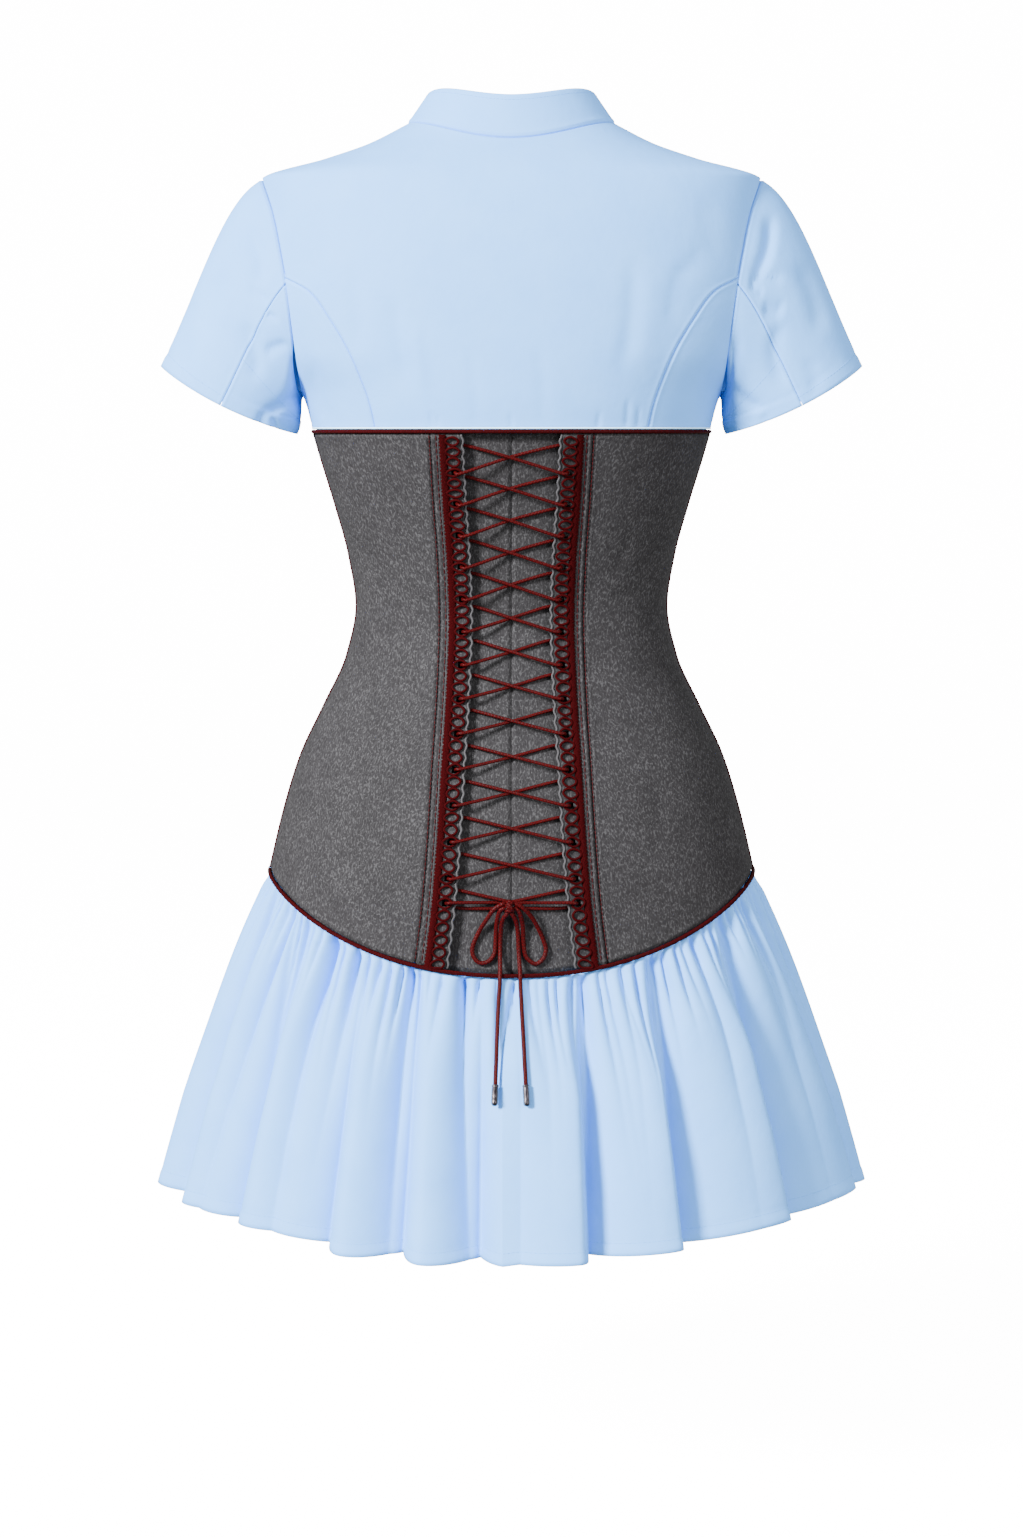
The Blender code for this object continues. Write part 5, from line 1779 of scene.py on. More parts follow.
    def build_stitching(self) -> list[bpy.types.Object]:
        """Makes the rows beside the tapes, the strips' edges and the centre back's row."""
        made = []
        for row in self.stitch_rows:
            fall = self.row_heights(row.offset, self.row_rise, 160)
            for side in Side:
                path = body_point(self.tip_turn(row.offset)(fall), fall, row.lift)
                path[:, 0] *= side.value
                name = f"corset_stitching_{row.label}_{side.label}"
                made.append(add_stitches(name, path, RED_THREAD, *row.stitch))
        for edge in self.strip_edges:
            fall = self.row_heights(edge.offset, self.edge_rise, 900)
            out = edge.offset - edge.wave * np.cos(2 * np.pi * Lacing.order_at(fall))
            for side in Side:
                path = body_point(turn_of(across_of(LOOP_TIPS, fall) + out, fall), fall, 0.0)
                path[:, 0] *= side.value
                name = f"strip_edge_{edge.label}_{side.label}"
                made.append(add_tubes(name, [tube(path, edge.radius, around=8)], PALE_THREAD))
        low = corset_bottom(0.0) + self.row_rise
        fall = np.linspace(CORSET_TOP - self.row_start, low, 160)
        turn = turn_of(np.full(fall.shape, self.centre_row), fall)
        path = body_point(turn, fall, 0.0001 - self.recess)
        name = "centre_back_stitching"
        return [*made, add_stitches(name, path, RED_THREAD, *self.centre_stitch)]

    def build(self) -> list[bpy.types.Object]:
        """Makes every panel of the corset."""
        seam = self.placket_width - self.overhang + SEAM_GAP
        side_turn = math.degrees(self.side_clearance / 0.085)
        made = self.add_pair(
            "corset_back_cloth",
            "corset_back",
            self.row_grid(
                self.tip_turn(seam),
                lambda height: 90.0 - side_turn + height * 0,
                shares(0.15, 0.0030),
                shares(0.36, 0.0034),
            ),
            "lrbt",
            self.wall,
        )
        made += self.add_pair(
            "modesty_cloth",
            "modesty_panel",
            self.row_grid(
                lambda height: turn_of(np.full(height.shape, SEAM_GAP), height),
                self.tip_turn(0.012),
                shares(0.05, 0.0028, high=False),
                shares(0.385, 0.0034),
                -self.recess,
            ),
            "lbt",
            self.modesty_wall,
            ((0.0010, 0.0010), (0.0090, 0.0020)),
        )
        made += self.build_plackets()

        def front_seam(shift: float) -> Callable[[Array], Array]:
            """The seam between side front and front."""
            return lambda height: turn_of(across_of(FRONT_SEAM, height) + shift, height, True)

        made += self.add_pair(
            "corset_side_front_cloth",
            "corset_side_front",
            self.row_grid(
                lambda height: 90.0 + side_turn + height * 0,
                front_seam(SEAM_GAP / 2),
                shares(0.11, 0.0036),
                shares(0.36, 0.0040),
            ),
            "lrbt",
            self.wall,
        )
        half = self.row_grid(
            front_seam(-SEAM_GAP / 2),
            lambda height: 180.0 + height * 0,
            shares(0.09, 0.0036, high=False),
            shares(0.385, 0.0040),
        )
        grid = rolled(np.concatenate([half, mirrored(half)[:, 1:]], axis=1), "lrbt")
        piece = add_cloth("corset_front_cloth", tucked(grid, "lrbt"), DENIM, self.wall)
        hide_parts("corset_front_centre")
        declare_sheet(piece, grid, Held.STRETCHED, ["piping_top_cord"])
        return [*made, piece, *self.build_stitching()]


@dataclass
class Piping:
    """Corded piping along the corset's top, bottom and side seams."""

    radius: float = 0.0014
    low_radius: float = 0.0014 * 1.12
    side_radius: float = 0.0011
    swell: float = 0.07
    twist: float = 0.0052
    lift: float = 0.0005
    edge_rise: float = 0.0024
    edge_radius: float = 0.0008

    def ring(
        self, name: str, node: str, height_at: Callable[[Array], Array], radius: float
    ) -> bpy.types.Object:
        """A ring of piping whose turned cord shows as a slow swell."""
        turn = np.linspace(0, 360, 721)[:-1]
        signed = np.where(turn > 180, turn - 360, turn)
        path = body_point(signed, height_at(signed), self.lift)
        swell = 1 + self.swell * np.sin(2 * np.pi * path_length(path) / self.twist)
        piece = add_tubes(name, [tube(path, radius * swell, around=12, closed=True)], PIPING)
        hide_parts(node)
        return piece

    def build(self) -> list[bpy.types.Object]:
        """Makes the four pipings and a pale cord painted as the highlight on the bodice's folded
        edge.
        """
        made = [
            self.ring("piping_top_cord", "piping_top", lambda t: CORSET_TOP + t * 0, self.radius),
            self.ring("piping_bottom_cord", "piping_bottom", corset_bottom, self.low_radius),
        ]
        # A pale cord just above the top piping: painted highlight on the bodice's folded edge.
        turn = np.linspace(0, 360, 361)[:-1]
        edge = body_point(turn, CORSET_TOP + self.edge_rise, 0.0)
        cord = tube(edge, self.edge_radius, around=8, closed=True)
        made.append(add_tubes("bodice_edge", [cord], PAINTED_HIGHLIGHT_EDGE))
        high, low = CORSET_TOP - EDGE_CLEARANCE, CORSET_BOTTOM_SIDE + EDGE_CLEARANCE
        height = np.linspace(high, low, 220)
        for side in Side:
            path = body_point(90.0 * side.value, height, self.lift)
            cord = tube(path, self.side_radius, around=10)
            piece = add_tubes(f"piping_side_cord_{side.label}", [cord], PIPING)
            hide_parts(f"piping_side_{side.label}")
            made.append(piece)
        return made


class LaceRow(NamedTuple):
    """A place of the bow from the knot's centre, and its lift from the surface."""

    across: float
    rise: float
    lift: float


def lace_rows(*rows: tuple[float, float, float]) -> tuple[LaceRow, ...]:
    """A bow loop's places."""
    return tuple(LaceRow(*row) for row in rows)


class EndRow(NamedTuple):
    """A height, where each free end passes it, and the lift there."""

    height: float
    left: float
    right: float
    lift: float


@dataclass
class Lacing:
    """Both laces, the knot, the bow and the free ends with their metal tips."""

    skirt: "Skirt"
    under_lift: float = -0.00375
    cross_lift: float = -0.00065
    over_lift: float = 0.00375
    under_rise: float = 0.0088
    hole_centre: float = 0.0050
    knot_across: float = -0.0015
    knot_height: float = -0.5745
    knot_lift: float = 0.0038
    knot_size: tuple[float, float, float] = (0.0070, 0.0066, 0.0104)
    bow_radius: float = 0.0016
    skirt_lift: float = 0.0004
    tip_radius: float = 0.0026
    tip_length: float = 0.0156
    tip_around: int = 28
    left_loop: tuple[LaceRow, ...] = lace_rows(
        (-0.0041, 0.0018, 0.0036), (-0.0110, -0.0022, 0.0034), (-0.0166, -0.0101, 0.0004),
        (-0.0220, -0.0185, -0.0030), (-0.0269, -0.0292, -0.0040), (-0.0273, -0.0363, -0.0040),
        (-0.0241, -0.0414, -0.0040), (-0.0201, -0.0429, -0.0040), (-0.0152, -0.0412, -0.0040),
        (-0.0114, -0.0363, -0.0040), (-0.0104, -0.0299, -0.0040), (-0.0100, -0.0200, -0.0028),
        (-0.0090, -0.0101, 0.0008), (-0.0068, -0.0036, 0.0032), (-0.0041, -0.0016, 0.0036),
    )
    right_loop: tuple[LaceRow, ...] = lace_rows(
        (0.0041, 0.0018, 0.0036), (0.0096, -0.0012, 0.0036), (0.0165, -0.0087, 0.0006),
        (0.0220, -0.0185, -0.0030), (0.0261, -0.0284, -0.0040), (0.0269, -0.0340, -0.0040),
        (0.0248, -0.0398, -0.0040), (0.0199, -0.0433, -0.0040), (0.0151, -0.0412, -0.0040),
        (0.0116, -0.0363, -0.0040), (0.0103, -0.0270, -0.0038), (0.0099, -0.0163, -0.0018),
        (0.0083, -0.0079, 0.0016), (0.0062, -0.0034, 0.0034), (0.0041, -0.0016, 0.0036),
    )
    free_ends: tuple[EndRow, ...] = (
        EndRow(-0.5800, -0.0031, 0.0001, 0.0034),
        EndRow(-0.5850, -0.0066, 0.0030, 0.0008),
        EndRow(-0.5940, -0.0080, 0.0047, -0.0026),
        EndRow(-0.6080, -0.0084, 0.0053, -0.0034),
        EndRow(-0.6180, -0.0083, 0.0060, -0.0006),
        EndRow(-0.6262, -0.0084, 0.0064, 0.0030),
        EndRow(-0.6320, -0.0087, 0.0065, 0.0026),
        EndRow(-0.6440, -0.0095, 0.0072, 0.0020),
        EndRow(-0.6640, -0.0104, 0.0084, 0.0020),
        EndRow(-0.6840, -0.0111, 0.0095, 0.0020),
        EndRow(-0.6993, -0.0117, 0.0104, 0.0022),
    )

    FIRST_CROSSING = 0.2484
    PITCH = 0.0228
    GROWTH = 0.00016
    CROSSINGS = 13
    OVER_DROP = 0.0102
    LAST_LOOP = 38

    @classmethod
    def crossing_height(cls, order: Array | float) -> Array | float:
        """The height of a crossing, counted from the top; parts of one count too."""
        return -(cls.FIRST_CROSSING + cls.PITCH * order + cls.GROWTH * order**2)

    @classmethod
    def loop_height(cls, order: Array | float) -> Array | float:
        """The height of a loop of the tape, counted from the one of the first crossing."""
        return cls.crossing_height(order / 3) - cls.OVER_DROP

    @classmethod
    def order_at(cls, height: Array) -> Array:
        """The loop's count at a height, the inverse of loop_height."""
        fall = -(height + cls.OVER_DROP) - cls.FIRST_CROSSING
        root = np.sqrt(cls.PITCH**2 + 4 * cls.GROWTH * fall)
        return 3 * (-cls.PITCH + root) / (2 * cls.GROWTH)

    @classmethod
    def loop_of(cls, crossing: int) -> int:
        """The loop that takes the lace below a crossing; the knot pulls up the last."""
        return cls.LAST_LOOP if crossing == cls.CROSSINGS else crossing * 3

    @staticmethod
    def place(across: float, height: float, lift: float) -> Array:
        """A point of the lacing, lifted from the body's surface."""
        return body_point(turn_of(np.array(across), height), height, lift)

    def route(self, first: Side) -> Array:
        """One lace from the top to the knot, as in the solids."""
        marks, side = [], first.value
        for order in range(self.CROSSINGS + 1):
            middle = self.crossing_height(order)
            start, end = middle + self.under_rise, self.loop_height(self.loop_of(order))
            tips = across_of(LOOP_TIPS, np.array([start, end]))
            on_top = (order % 2 == 0) == (first is Side.LEFT)
            lift = self.cross_lift if on_top else self.under_lift
            marks += [
                (side * (tips[0] + 0.0020), start, self.under_lift),
                (side * (tips[0] - 0.0060), start - 0.0012, self.under_lift),
                (0.0, middle, lift),
            ]
            side = -side
            if order == self.CROSSINGS:
                marks.append((side * 0.0140, (middle + end) / 2, lift))
            hole = tips[1] + self.hole_centre
            marks += [
                (side * (tips[1] - 0.0015), end + 0.0006, self.over_lift),
                (side * (hole - 0.0012), end, self.over_lift - 0.0002),
                (side * hole, end, -0.0010),
                (side * (hole - 0.0022), end - 0.0008, self.under_lift),
            ]
        tip = across_of(LOOP_TIPS, np.array(self.knot_height))
        reach = self.knot_size[0] / 2 + TOUCH + CORD_RADIUS / 2
        height = self.knot_height
        marks += [
            (side * (tip - 0.0040), height - 0.0022, self.under_lift),
            (side * 0.0140, height - 0.0024, self.under_lift + 0.0004),
            (self.knot_across + side * reach, height - 0.0010, self.knot_lift - 0.0036),
        ]
        return np.array([self.place(*mark) for mark in marks])

    def loop_path(self, rows: Sequence[LaceRow]) -> Array:
        """The smooth route of a bow loop."""
        marks = [
            self.place(self.knot_across + row.across, self.knot_height + row.rise, row.lift)
            for row in rows
        ]
        return smooth_path(np.array(marks), 6)

    def end_path(self, side: Side) -> Array:
        """The route of a free end, over the corset's edge and down the skirt."""
        marks = []
        for row in self.free_ends:
            across = row.left if side is Side.LEFT else row.right
            on_corset = row.height > corset_bottom(np.array(0.0))
            lay = self.place if on_corset else self.skirt.place
            lift = row.lift if on_corset else row.lift + self.skirt_lift
            marks.append(lay(across, row.height, lift))
        return np.array(marks)

    def build_laces(self) -> list[bpy.types.Object]:
        """Makes the two laces that criss-cross down the back."""
        made = []
        for first, node in ((Side.LEFT, "lace_first"), (Side.RIGHT, "lace_second")):
            path = resampled(smooth_path(self.route(first), 6), 0.0011)
            piece = add_tubes(f"{node}_cord", [tube(path, CORD_RADIUS, around=10)], LACE)
            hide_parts(node)
            made.append(piece)
        return made

    def build_bow(self) -> list[bpy.types.Object]:
        """Makes the two loops and the knot's wrapped turns."""
        made = []
        for label, rows in (("left", self.left_loop), ("right", self.right_loop)):
            cord = tube(self.loop_path(rows), self.bow_radius, around=12)
            piece = add_tubes(f"bow_loop_cord_{label}", [cord], LACE)
            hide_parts(f"bow_loop_{label}")
            made.append(piece)
        centre = self.place(self.knot_across, self.knot_height, self.knot_lift)
        half = np.array(self.knot_size) / 2
        swing = np.linspace(0, 2 * np.pi, 49)[:-1]
        # Place across, rise, share of the knot's height, slant
        turns = (
            (-0.0001, 0.0016, 0.62, 0.30),
            (0.0002, -0.0010, 0.70, -0.22),
            (0.0000, -0.0034, 0.55, 0.12),
        )
        parts = []
        for across, rise, share, slant in turns:
            wide = np.cos(swing) * (half[0] - CORD_RADIUS) * 1.05
            deep = np.sin(swing) * (half[1] - CORD_RADIUS)
            up = rise + np.cos(swing) * half[2] * slant * share
            path = centre + np.stack([across + wide, deep, up], axis=-1)
            parts.append(tube(path, CORD_RADIUS * 1.02, around=10, closed=True))
        over = np.array(
            [
                (-0.0024, 0.0020, 0.0030), (-0.0012, -0.0022, 0.0026), (0.0006, -0.0036, 0.0002),
                (0.0022, -0.0026, -0.0028), (0.0026, 0.0016, -0.0038),
            ]
        )
        parts.append(tube(centre + smooth_path(over, 6), CORD_RADIUS, around=10))
        core = centre + np.array([[0, 0, 0.0026], [0, 0, 0.0], [0, 0, -0.0034]])
        parts.append(tube(core, half[0] * 0.62, around=10))
        knot = add_tubes("bow_knot_cord", parts, LACE)
        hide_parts("bow_knot")
        return [*made, knot]

    def build_tip(self, label: str, end: Array, hang: Array) -> bpy.types.Object:
        """A rounded metal tip with a rolled rim, a crimp and a seam along its back.

        Args:
            label: The side's word.
            end: Where the cord enters it.
            hang: The direction that it hangs in.

        Returns:
            The tip.
        """
        # Share of the length, share of the radius
        profile = (
            (0.00, 0.70), (0.00, 0.93), (0.02, 1.00), (0.06, 1.00), (0.085, 0.92), (0.12, 0.92),
            (0.16, 0.97), (0.40, 0.99), (0.60, 0.98), (0.66, 0.93), (0.70, 0.98), (0.88, 0.95),
            (0.95, 0.82), (0.985, 0.55), (1.00, 0.20),
        )
        swing = np.arange(self.tip_around) * 2 * np.pi / self.tip_around
        one = unit(np.cross(hang, np.array([0.0, 1.0, 0.0])))
        other = np.cross(hang, one)
        ring = one * np.cos(swing)[:, None] + other * np.sin(swing)[:, None]
        notch = 1 - 0.05 * np.exp(-(((swing - 1.2) / 0.18) ** 2))[:, None]
        top = end + hang * TOUCH
        down, ring = hang * self.tip_length, ring * notch
        points = np.vstack([top + down * s + ring * self.tip_radius * r for s, r in profile])
        faces = [face[::-1] for face in turned_faces(len(profile), self.tip_around)]
        along = np.repeat([s * self.tip_length for s, _ in profile], self.tip_around)
        uv = np.stack([np.tile(swing * self.tip_radius, len(profile)), along], axis=-1)
        tip = new_object(f"lace_tip_{label}", mesh_of("tip", points, faces, uv), METAL)
        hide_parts(f"aglet_{label}")
        return tip

    def build_ends(self) -> list[bpy.types.Object]:
        made = []
        for side in Side:
            marks = self.end_path(side)
            path, label = smooth_path(marks, 3), side.label
            surface = tube(path, self.bow_radius, around=12)
            cord = add_tubes(f"lace_end_cord_{label}", [surface], LACE)
            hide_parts(f"lace_end_{label}")
            tip = self.build_tip(label, marks[-1], unit(marks[-1] - marks[-2]))
            tuple(float(x) for x in path[0])
            round(float(path_length(path)[-1]), 4)
            LOG.info("%s: %.4f m long", cord.name, path_length(path)[-1])
            made += [cord, tip]
        return made

    def build(self) -> list[bpy.types.Object]:
        """Makes all of the lacing."""
        return [*self.build_ends(), *self.build_laces(), *self.build_bow()]


@dataclass
class LoopTape:
    """The braid tape along each lacing edge: a knotted band with a row of loops."""

    side: Side
    width: float = 0.0156
    band: float = 0.0108
    lift: float = 0.0006
    wall: float = 0.0016
    strand: float = 0.00096
    ring_reach: float = 0.0049
    ring_centre: float = 0.0059
    first_loop: int = -3
    last_loop: int = 43

    def place(self, height: Array, inward: Array, out: Array) -> Array:
        """Points of the tape; inward runs from the tips to its outer edge."""
        turn = Corset.tip_turn(0.0)(height)
        low = corset_bottom(turn) + EDGE_CLEARANCE + TOUCH + 0.0006
        height = np.clip(height, low, CORSET_TOP - EDGE_CLEARANCE - TOUCH)
        turn = turn_of(across_of(LOOP_TIPS, height) + inward, height)
        points = body_point(turn, height, out)
        points[..., 0] *= self.side.value
        return points

    def ring(self, order: int, draw: np.random.Generator) -> tuple[Array, list, Array]:
        """One loop: an oval of cord, its ends drawn together at the band."""
        swing = np.arange(28) * 2 * np.pi / 28
        middle = Lacing.loop_height(order)
        pitch = middle - Lacing.loop_height(order + 1)
        squeeze = 1 + 0.05 * draw.standard_normal(2)
        tilt = 0.0004 * draw.standard_normal()
        cosine, sine = np.cos(swing), np.sin(swing)
        inward = self.ring_centre - cosine * self.ring_reach * squeeze[0]
        pinch = 1 - 0.22 * np.clip(-cosine, 0, 1) - 0.18 * np.clip(cosine, 0, 1) ** 3
        half = pitch / 2 - self.strand * 0.75
        height = middle + sine * half * pinch * squeeze[1] + tilt * cosine
        out = self.lift + self.strand * (1.0 + 0.25 * np.sin(swing + draw.uniform(0, 6)))
        path = self.place(height, inward, out)
        return tube(path, self.strand, around=8, closed=True)

    def band_grid(self) -> Array:
        """The band's face, lumpy with small knots that also scallop its outer edge."""
        top = CORSET_TOP - EDGE_CLEARANCE - TOUCH
        low = corset_bottom(np.array(12.0)) + EDGE_CLEARANCE + 0.0008
        height = np.arange(low, top, 0.00055)[:, None]
        share = np.linspace(0, 1, 17)[None, :]
        order = Lacing.order_at(height)
        draw = np.random.default_rng(31 + self.side.value)
        rough = draw.standard_normal((len(height), 17))
        knots = 0.5 + 0.5 * np.cos(2 * np.pi * (height / 0.0026))
        wave = 0.5 + 0.5 * np.cos(2 * np.pi * order)
        edge = self.width + 0.0007 * (knots - 0.5) + 0.0003 * rough[:, :1] * 0.4
        inner = self.band - 0.0005 * (1 - wave)
        inward = inner + (edge - inner) * share
        across = np.sin(np.pi * share) ** 0.45
        weave = 0.5 + 0.5 * np.sin(2 * np.pi * (height / 0.0019 + share * 2.4))
        cross = 0.5 + 0.5 * np.sin(2 * np.pi * (height / 0.0019 - share * 2.4) + 1.0)
        out = self.lift + self.wall * across * (0.62 + 0.30 * np.maximum(weave, cross))
        out = out + 0.00010 * rough * across
        height, inward, out = np.broadcast_arrays(height, inward, out)
        grid = self.place(height, inward, out)
        return grid if self.side is Side.RIGHT else grid[:, ::-1]

    def build(self) -> list[bpy.types.Object]:
        """Makes the band and its loops as one piece."""
        draw = np.random.default_rng(53 + self.side.value)
        parts = [self.ring(order, draw) for order in range(self.first_loop, self.last_loop + 1)]
        grid = self.band_grid()
        rows, columns = grid.shape[:2]
        uv = grid_uv(grid).reshape(-1, 2)
        parts.append((grid.reshape(-1, 3), grid_faces(rows, columns), uv))
        piece = add_tubes(f"loop_braid_{self.side.label}", parts, TAPE)
        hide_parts(f"loop_tape_{self.side.label}")
        return [piece]


class Fold(NamedTuple):
    """A large fold: the turn of the valley where it starts, how far its crest stands out,
    and how much lower than the even hem it hangs."""

    start: float
    crest: float
    drop: float


@dataclass
class Skirt:
    """The gathered skirt: two shells with tubular folds and creases below the gathers."""

    wall: float = 0.0008
    hem_half_width: float = 0.2662
    hem_back: float = 0.1950
    hem_front: float = 0.1850
    hem_side_height: float = -0.8035
    hem_dip: float = 0.0190
    flare_bulge: float = 0.05
    valley_depth: float = 0.0115
    columns: int = 631
    rows: int = 66
    # How far folds fall over outwards, on the wearer's left and right
    skew: tuple[float, float] = (0.10, 0.24)
    lean: tuple[float, float] = (1.2, 2.4)
    gather_pitch: float = 3.0
    hem_turn: float = 0.0100
    hem_roll: float = 0.0004
    # Depth and width of the pressed line above the hem
    hem_press: tuple[float, float] = (0.0004, 0.0011)
    stitch: Stitch = Stitch(0.0025, 0.0010, 0.00022)
    cord_reach: float = 0.0060
    tuck: tuple[tuple[float, float], ...] = ((0.0006, 0.0036), (0.0030, 0.0064))
    cut: tuple[float, float] = (0.86, 0.235)
    folds: tuple[Fold, ...] = (
        Fold(-90.0, 0.0100, 0.0000),
        Fold(-70.2, 0.0110, 0.0000),
        Fold(-51.7, 0.0120, -0.0030),
        Fold(-31.0, 0.0110, 0.0020),
        Fold(-17.9, 0.0120, 0.0015),
        Fold(-5.0, 0.0125, 0.0000),
        Fold(12.5, 0.0110, -0.0015),
        Fold(28.4, 0.0115, -0.0050),
        Fold(50.9, 0.0120, -0.0050),
        Fold(76.0, 0.0095, 0.0000),
        Fold(90.0, 0.0105, 0.0000),
        Fold(108.0, 0.0115, -0.0010),
        Fold(127.0, 0.0120, 0.0010),
        Fold(144.0, 0.0110, 0.0000),
        Fold(161.0, 0.0120, 0.0015),
        Fold(175.0, 0.0120, -0.0010),
        Fold(192.0, 0.0110, 0.0010),
        Fold(207.0, 0.0120, -0.0020),
        Fold(227.0, 0.0110, 0.0000),
        Fold(243.0, 0.0115, -0.0010),
        Fold(257.0, 0.0100, 0.0000),
        Fold(270.0, 0.0100, 0.0000),
    )
    # Long creases on the back: turn at the seam and at the hem, length, depth, width in degrees
    long_creases: tuple[tuple[float, float, float, float, float], ...] = (
        (-71.0, -73.0, 0.9, 0.0088, 1.3),
        (-58.5, -60.0, 1.3, 0.0149, 1.4),
        (-50.5, -50.0, 0.9, 0.0079, 1.0),
        (-41.5, -40.0, 1.4, 0.0166, 1.4),
        (-33.3, -35.0, 0.5, 0.0105, 1.0),
        (-20.2, -19.8, 1.3, 0.0149, 1.1),
        (-8.7, -6.5, 1.3, 0.0149, 1.1),
        (4.5, 4.0, 0.5, 0.0050, 1.0),
        (13.9, 12.5, 1.4, 0.0106, 1.2),
        (22.0, 20.5, 0.6, 0.0056, 1.1),
        (30.8, 28.4, 1.4, 0.0112, 1.4),
        (42.0, 40.0, 0.8, 0.0063, 1.3),
        (54.0, 50.5, 1.4, 0.0112, 1.5),
        (63.0, 61.0, 0.8, 0.0069, 1.3),
        (72.5, 73.5, 1.3, 0.0100, 1.5),
    )
    marks: list[tuple[float, ...]] = field(default_factory=list)

    def __post_init__(self) -> None:
        """Draws the creases that fall from the gathered seam, the same each run."""
        draw = np.random.default_rng(11)
        turn = -90.0
        while turn < 269.0:
            length = 0.09 + 0.42 * draw.beta(1.3, 3.2)
            depth = draw.uniform(0.0050, 0.0115)
            drift = draw.normal(0.0, 3.0)
            width = draw.uniform(0.45, 0.90)
            self.marks.append((turn, length, depth, drift, width))
            turn += self.gather_pitch * draw.uniform(0.55, 1.35)
        for high, low, length, depth, width in self.long_creases:
            self.marks.append((high, length, depth, low - high, width))
            self.marks.append((180.0 - high, length, depth * 0.9, high - low, width * 1.1))

    def fold_at(self, turn: Array, share: Array) -> tuple[Array, Array, Array]:
        """The large folds at some places.

        Args:
            turn: Degrees from the centre back.
            share: Shares from the seam to the hem.

        Returns:
            How far they stand out, how much lower the hem hangs, and how far they lean.
        """
        turn = (np.asarray(turn, float) + 90) % 360 - 90
        starts = np.array([fold.start for fold in self.folds])
        i = np.clip(np.searchsorted(starts, turn, side="right") - 1, 0, len(starts) - 2)
        width = starts[i + 1] - starts[i]
        place = (turn - starts[i]) / width
        sine, cosine = np.sin(np.radians(turn)), np.cos(np.radians(turn))
        outward = np.sign(sine * cosine) * smoothstep(0.05, 0.45, np.abs(cosine))
        grown = smoothstep(0.0, 0.45, share)
        skew = np.where(sine < 0, *self.skew)
        reach = np.where(sine < 0, *self.lean)
        middle = 0.5 + skew * outward * grown
        phase = np.where(
            place < middle, 0.5 * place / middle, 1 - 0.5 * (1 - place) / (1 - middle)
        )
        rise = np.clip(np.sin(np.pi * np.clip(phase, 0, 1)), 0, None) ** 0.75
        crest = np.array([fold.crest for fold in self.folds])[i]
        drop = np.array([fold.drop for fold in self.folds])[i]
        lean = reach * outward * grown * rise**1.5 * width / 18
        return (crest + self.valley_depth) * rise - self.valley_depth, drop * rise, lean

    def gathers(self, turn: Array, share: Array) -> Array:
        """How far the small creases below the seam push the cloth in or out."""
        lift = 0.0030 * smoothstep(0.0, 0.06, share) * (1 - smoothstep(0.1, 0.6, share))
        start = smoothstep(0.0, 0.05, share) * 0.60 + 0.40
        for place, length, depth, drift, width in self.marks:
            aside = (turn - place - drift * share + 180) % 360 - 180
            wide = width * (1 + 2.2 * share)
            fade = np.exp(-((share / length) ** 2))
            lift = lift - depth * start * fade * np.exp(-np.abs(aside) / wide)
        return lift

    @staticmethod
    def top(turn: Array) -> Array:
        """The skirt's upper edge."""
        return corset_bottom(turn) - EDGE_CLEARANCE

    def point(self, turn: Array, share: Array) -> Array:
        """Points of the skirt, by turn and share from the seam to the hem."""
        turn, share = np.broadcast_arrays(np.asarray(turn, float), np.asarray(share, float))
        fold, drop, lean = self.fold_at(turn, share)
        small = self.gathers(turn, share)
        turn = turn + lean
        start = on_ring(turn, self.top(turn))
        sine, cosine = np.sin(np.radians(turn)), np.cos(np.radians(turn))
        depth = np.where(cosine > 0, self.hem_back, self.hem_front)
        hem_height = self.hem_side_height - self.hem_dip * cosine**2 - drop
        hem = np.stack([self.hem_half_width * sine, -depth * cosine, hem_height], axis=-1)
        flare = (share + self.flare_bulge * np.sin(np.pi * share))[..., None]
        point = start + (hem - start) * flare
        point[..., 2] = start[..., 2] + (hem[..., 2] - start[..., 2]) * share
        across, back = sine / self.hem_half_width, -cosine / depth
        outward = unit(np.stack([across, back, np.zeros_like(sine)], axis=-1))
        large = fold * np.minimum(1.0, share / 0.7) ** 0.75
        return point + outward * (large + small)[..., None]

    def place(self, across: float, height: float, lift: float) -> Array:
        """A point lifted off the crests that a cord lies on, near the centre back."""
        top, hem = self.top(np.array(0.0)), self.hem_side_height - self.hem_dip
        share = float(np.clip((top - height) / (top - hem), 0, 1))
        places = self.point(np.linspace(-14, 14, 561), share)
        near = np.abs(places[:, 0] - across) < self.cord_reach
        return np.array([across, places[near, 1].min() - lift, height])

    def grid(self, low: float, high: float) -> Array:
        """One shell from hem to seam."""
        gap = math.degrees(SEAM_GAP / 2 / 0.15)
        turn = np.linspace(low + gap, high - gap, self.columns)
        length = abs(self.hem_side_height - CORSET_BOTTOM_SIDE)
        share = 1 - shares(length, length / self.rows, low=False)
        share = np.sort(np.clip(share, 0, 1))[::-1]
        grid = self.point(turn[None, :], share[:, None])
        away = grid_uv(grid)[..., 1]
        normals = grid_normals(grid)
        depth, width = self.hem_press
        press = -depth * np.exp(-(((away - self.hem_turn) / width) ** 2))
        roll = self.hem_roll * (1 - smoothstep(self.hem_turn - 0.002, self.hem_turn, away))
        return rolled(grid + normals * (press + roll)[..., None], "lrt")

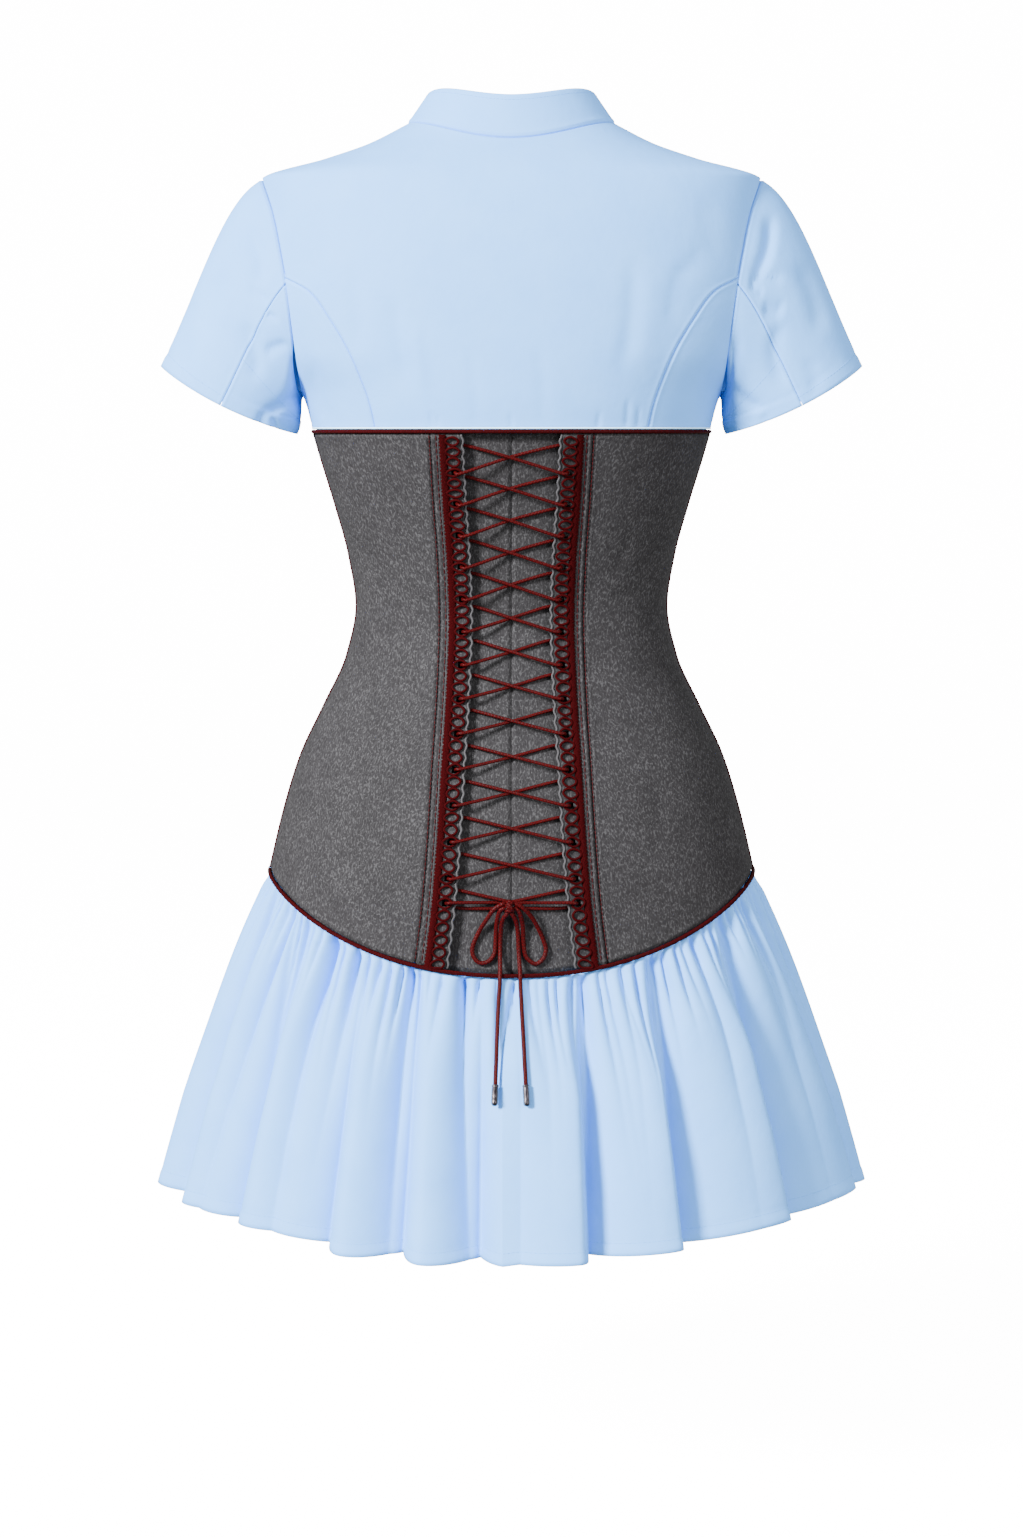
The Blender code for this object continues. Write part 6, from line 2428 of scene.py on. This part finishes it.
    def build(self) -> list[bpy.types.Object]:
        """Makes the back and the front with their hem stitching."""
        made = []
        for name, low, high in (("back", -90.0, 90.0), ("front", 90.0, 270.0)):
            grid = self.grid(low, high)
            shape = tucked(grid, "lrt", self.tuck)
            piece = add_cloth(f"skirt_{name}_cloth", shape, POPLIN, self.wall)
            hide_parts(f"skirt_{name}")
            away = grid_uv(grid)[..., 1]
            rows = np.argmin(np.abs(away - self.hem_turn), axis=0)
            path = grid[rows, np.arange(grid.shape[1])]
            stitches = add_stitches(f"skirt_{name}_stitching", path, BLUE_THREAD, *self.stitch)
            held, rest = Held.GATHERED, ["piping_bottom_cord"]
            declare_sheet(piece, grid, held, rest, self.cut)
            made += [piece, stitches]
        return made


class Lamp(NamedTuple):
    """A square soft light: its name, place, aim, side and watts."""

    name: str
    place: tuple[float, float, float]
    aim: tuple[float, float, float]
    size: float
    power: float


@dataclass
class Studio:
    """A pale floor and backdrop, soft light from the left, and the camera."""

    camera_place: tuple[float, float, float] = (0.0, -2.2857, -0.2291)
    camera_down: float = 6.4336
    lens: float = 70.0
    sensor: float = 36.0
    floor: float = -1.05
    world: float = 0.80
    paper_half: float = 9.0
    paper_front: float = -7.0
    paper_back: float = 4.5
    paper_top: float = 9.0
    sweep: float = 2.5
    lamps: tuple[Lamp, ...] = (
        Lamp("key", (-3.3, -3.0, 1.7), (0.0, 0.0, -0.4), 1.1, 1180.0),
        Lamp("fill", (2.8, -3.5, 0.9), (0.0, 0.0, -0.3), 2.6, 230.0),
    )

    def build_camera(self) -> None:
        """Sets up the camera at the photo's angle."""
        data = bpy.data.cameras.new("camera")
        data.lens, data.sensor_width = self.lens, self.sensor
        camera = bpy.data.objects.new("camera", data)
        camera.location = self.camera_place
        camera.rotation_euler = (math.radians(90 - self.camera_down), 0.0, 0.0)
        bpy.context.scene.collection.objects.link(camera)
        bpy.context.scene.camera = camera

    def build_paper(self) -> None:
        """Makes the floor, which curves up into a backdrop far behind."""
        x = np.linspace(-self.paper_half, self.paper_half, 13)
        back, sweep = self.paper_back, self.sweep
        profile = [(self.paper_front, 0.0), (2.0, 0.0), (back, 0.0)]
        profile += [
            (back + sweep * math.sin(a), sweep - sweep * math.cos(a))
            for a in np.linspace(0.12, 1.57, 14)
        ]
        profile += [(back + sweep, 2 * sweep), (back + sweep, self.paper_top)]
        grid = np.array([[(a, y, self.floor + z) for a in x] for y, z in profile])
        mesh = mesh_of("paper", grid, grid_faces(*grid.shape[:2]), grid_uv(grid))
        paper = bpy.data.objects.new("studio_paper_sweep", mesh)
        mesh.materials.append(PAPER.material())
        bpy.context.scene.collection.objects.link(paper)
        paper.visible_diffuse = paper.visible_glossy = paper.visible_shadow = False

    @staticmethod
    def add_light(lamp: Lamp) -> None:
        """Adds a light, turned to what it points at."""
        data = bpy.data.lights.new(lamp.name, "AREA")
        data.size, data.energy = lamp.size, lamp.power
        light = bpy.data.objects.new(lamp.name, data)
        light.location = lamp.place
        way = Vector(lamp.aim) - Vector(lamp.place)
        light.rotation_euler = way.to_track_quat("-Z", "Y").to_euler()
        bpy.context.scene.collection.objects.link(light)

    def build_world(self) -> None:
        """An even white surround."""
        world = bpy.data.worlds.new("studio")
        bpy.context.scene.world = world
        world.use_nodes = True
        background = world.node_tree.nodes["Background"]
        background.inputs["Color"].default_value = (1.0, 1.0, 1.0, 1.0)
        background.inputs["Strength"].default_value = self.world

    def build(self) -> None:
        """Sets up camera, paper, world and lights."""
        self.build_camera()
        self.build_world()
        self.build_paper()
        for lamp in self.lamps:
            self.add_light(lamp)


def main() -> None:
    """Builds every sub-assembly in order and reports its pieces."""
    logging.basicConfig(level=logging.INFO, format="%(name)s %(message)s")
    Studio().build()
    neck, skirt = Neck(), Skirt()
    assemblies = [
        Lacing(skirt),
        LoopTape(Side.RIGHT),
        LoopTape(Side.LEFT),
        Piping(),
        Bodice(neck),
        Collar(neck),
        Sleeve(Side.LEFT, creases=LEFT_SLEEVE_CREASES),
        Sleeve(Side.RIGHT, creases=RIGHT_SLEEVE_CREASES),
        Corset(),
        skirt,
    ]
    for assembly in assemblies:
        for piece in assembly.build():
            faces = len(piece.data.polygons)
            LOG.info("%s has %s: %d faces", type(assembly).__name__, piece.name, faces)
    bpy.context.view_layer.update()


if __name__ == "__main__":
    main()
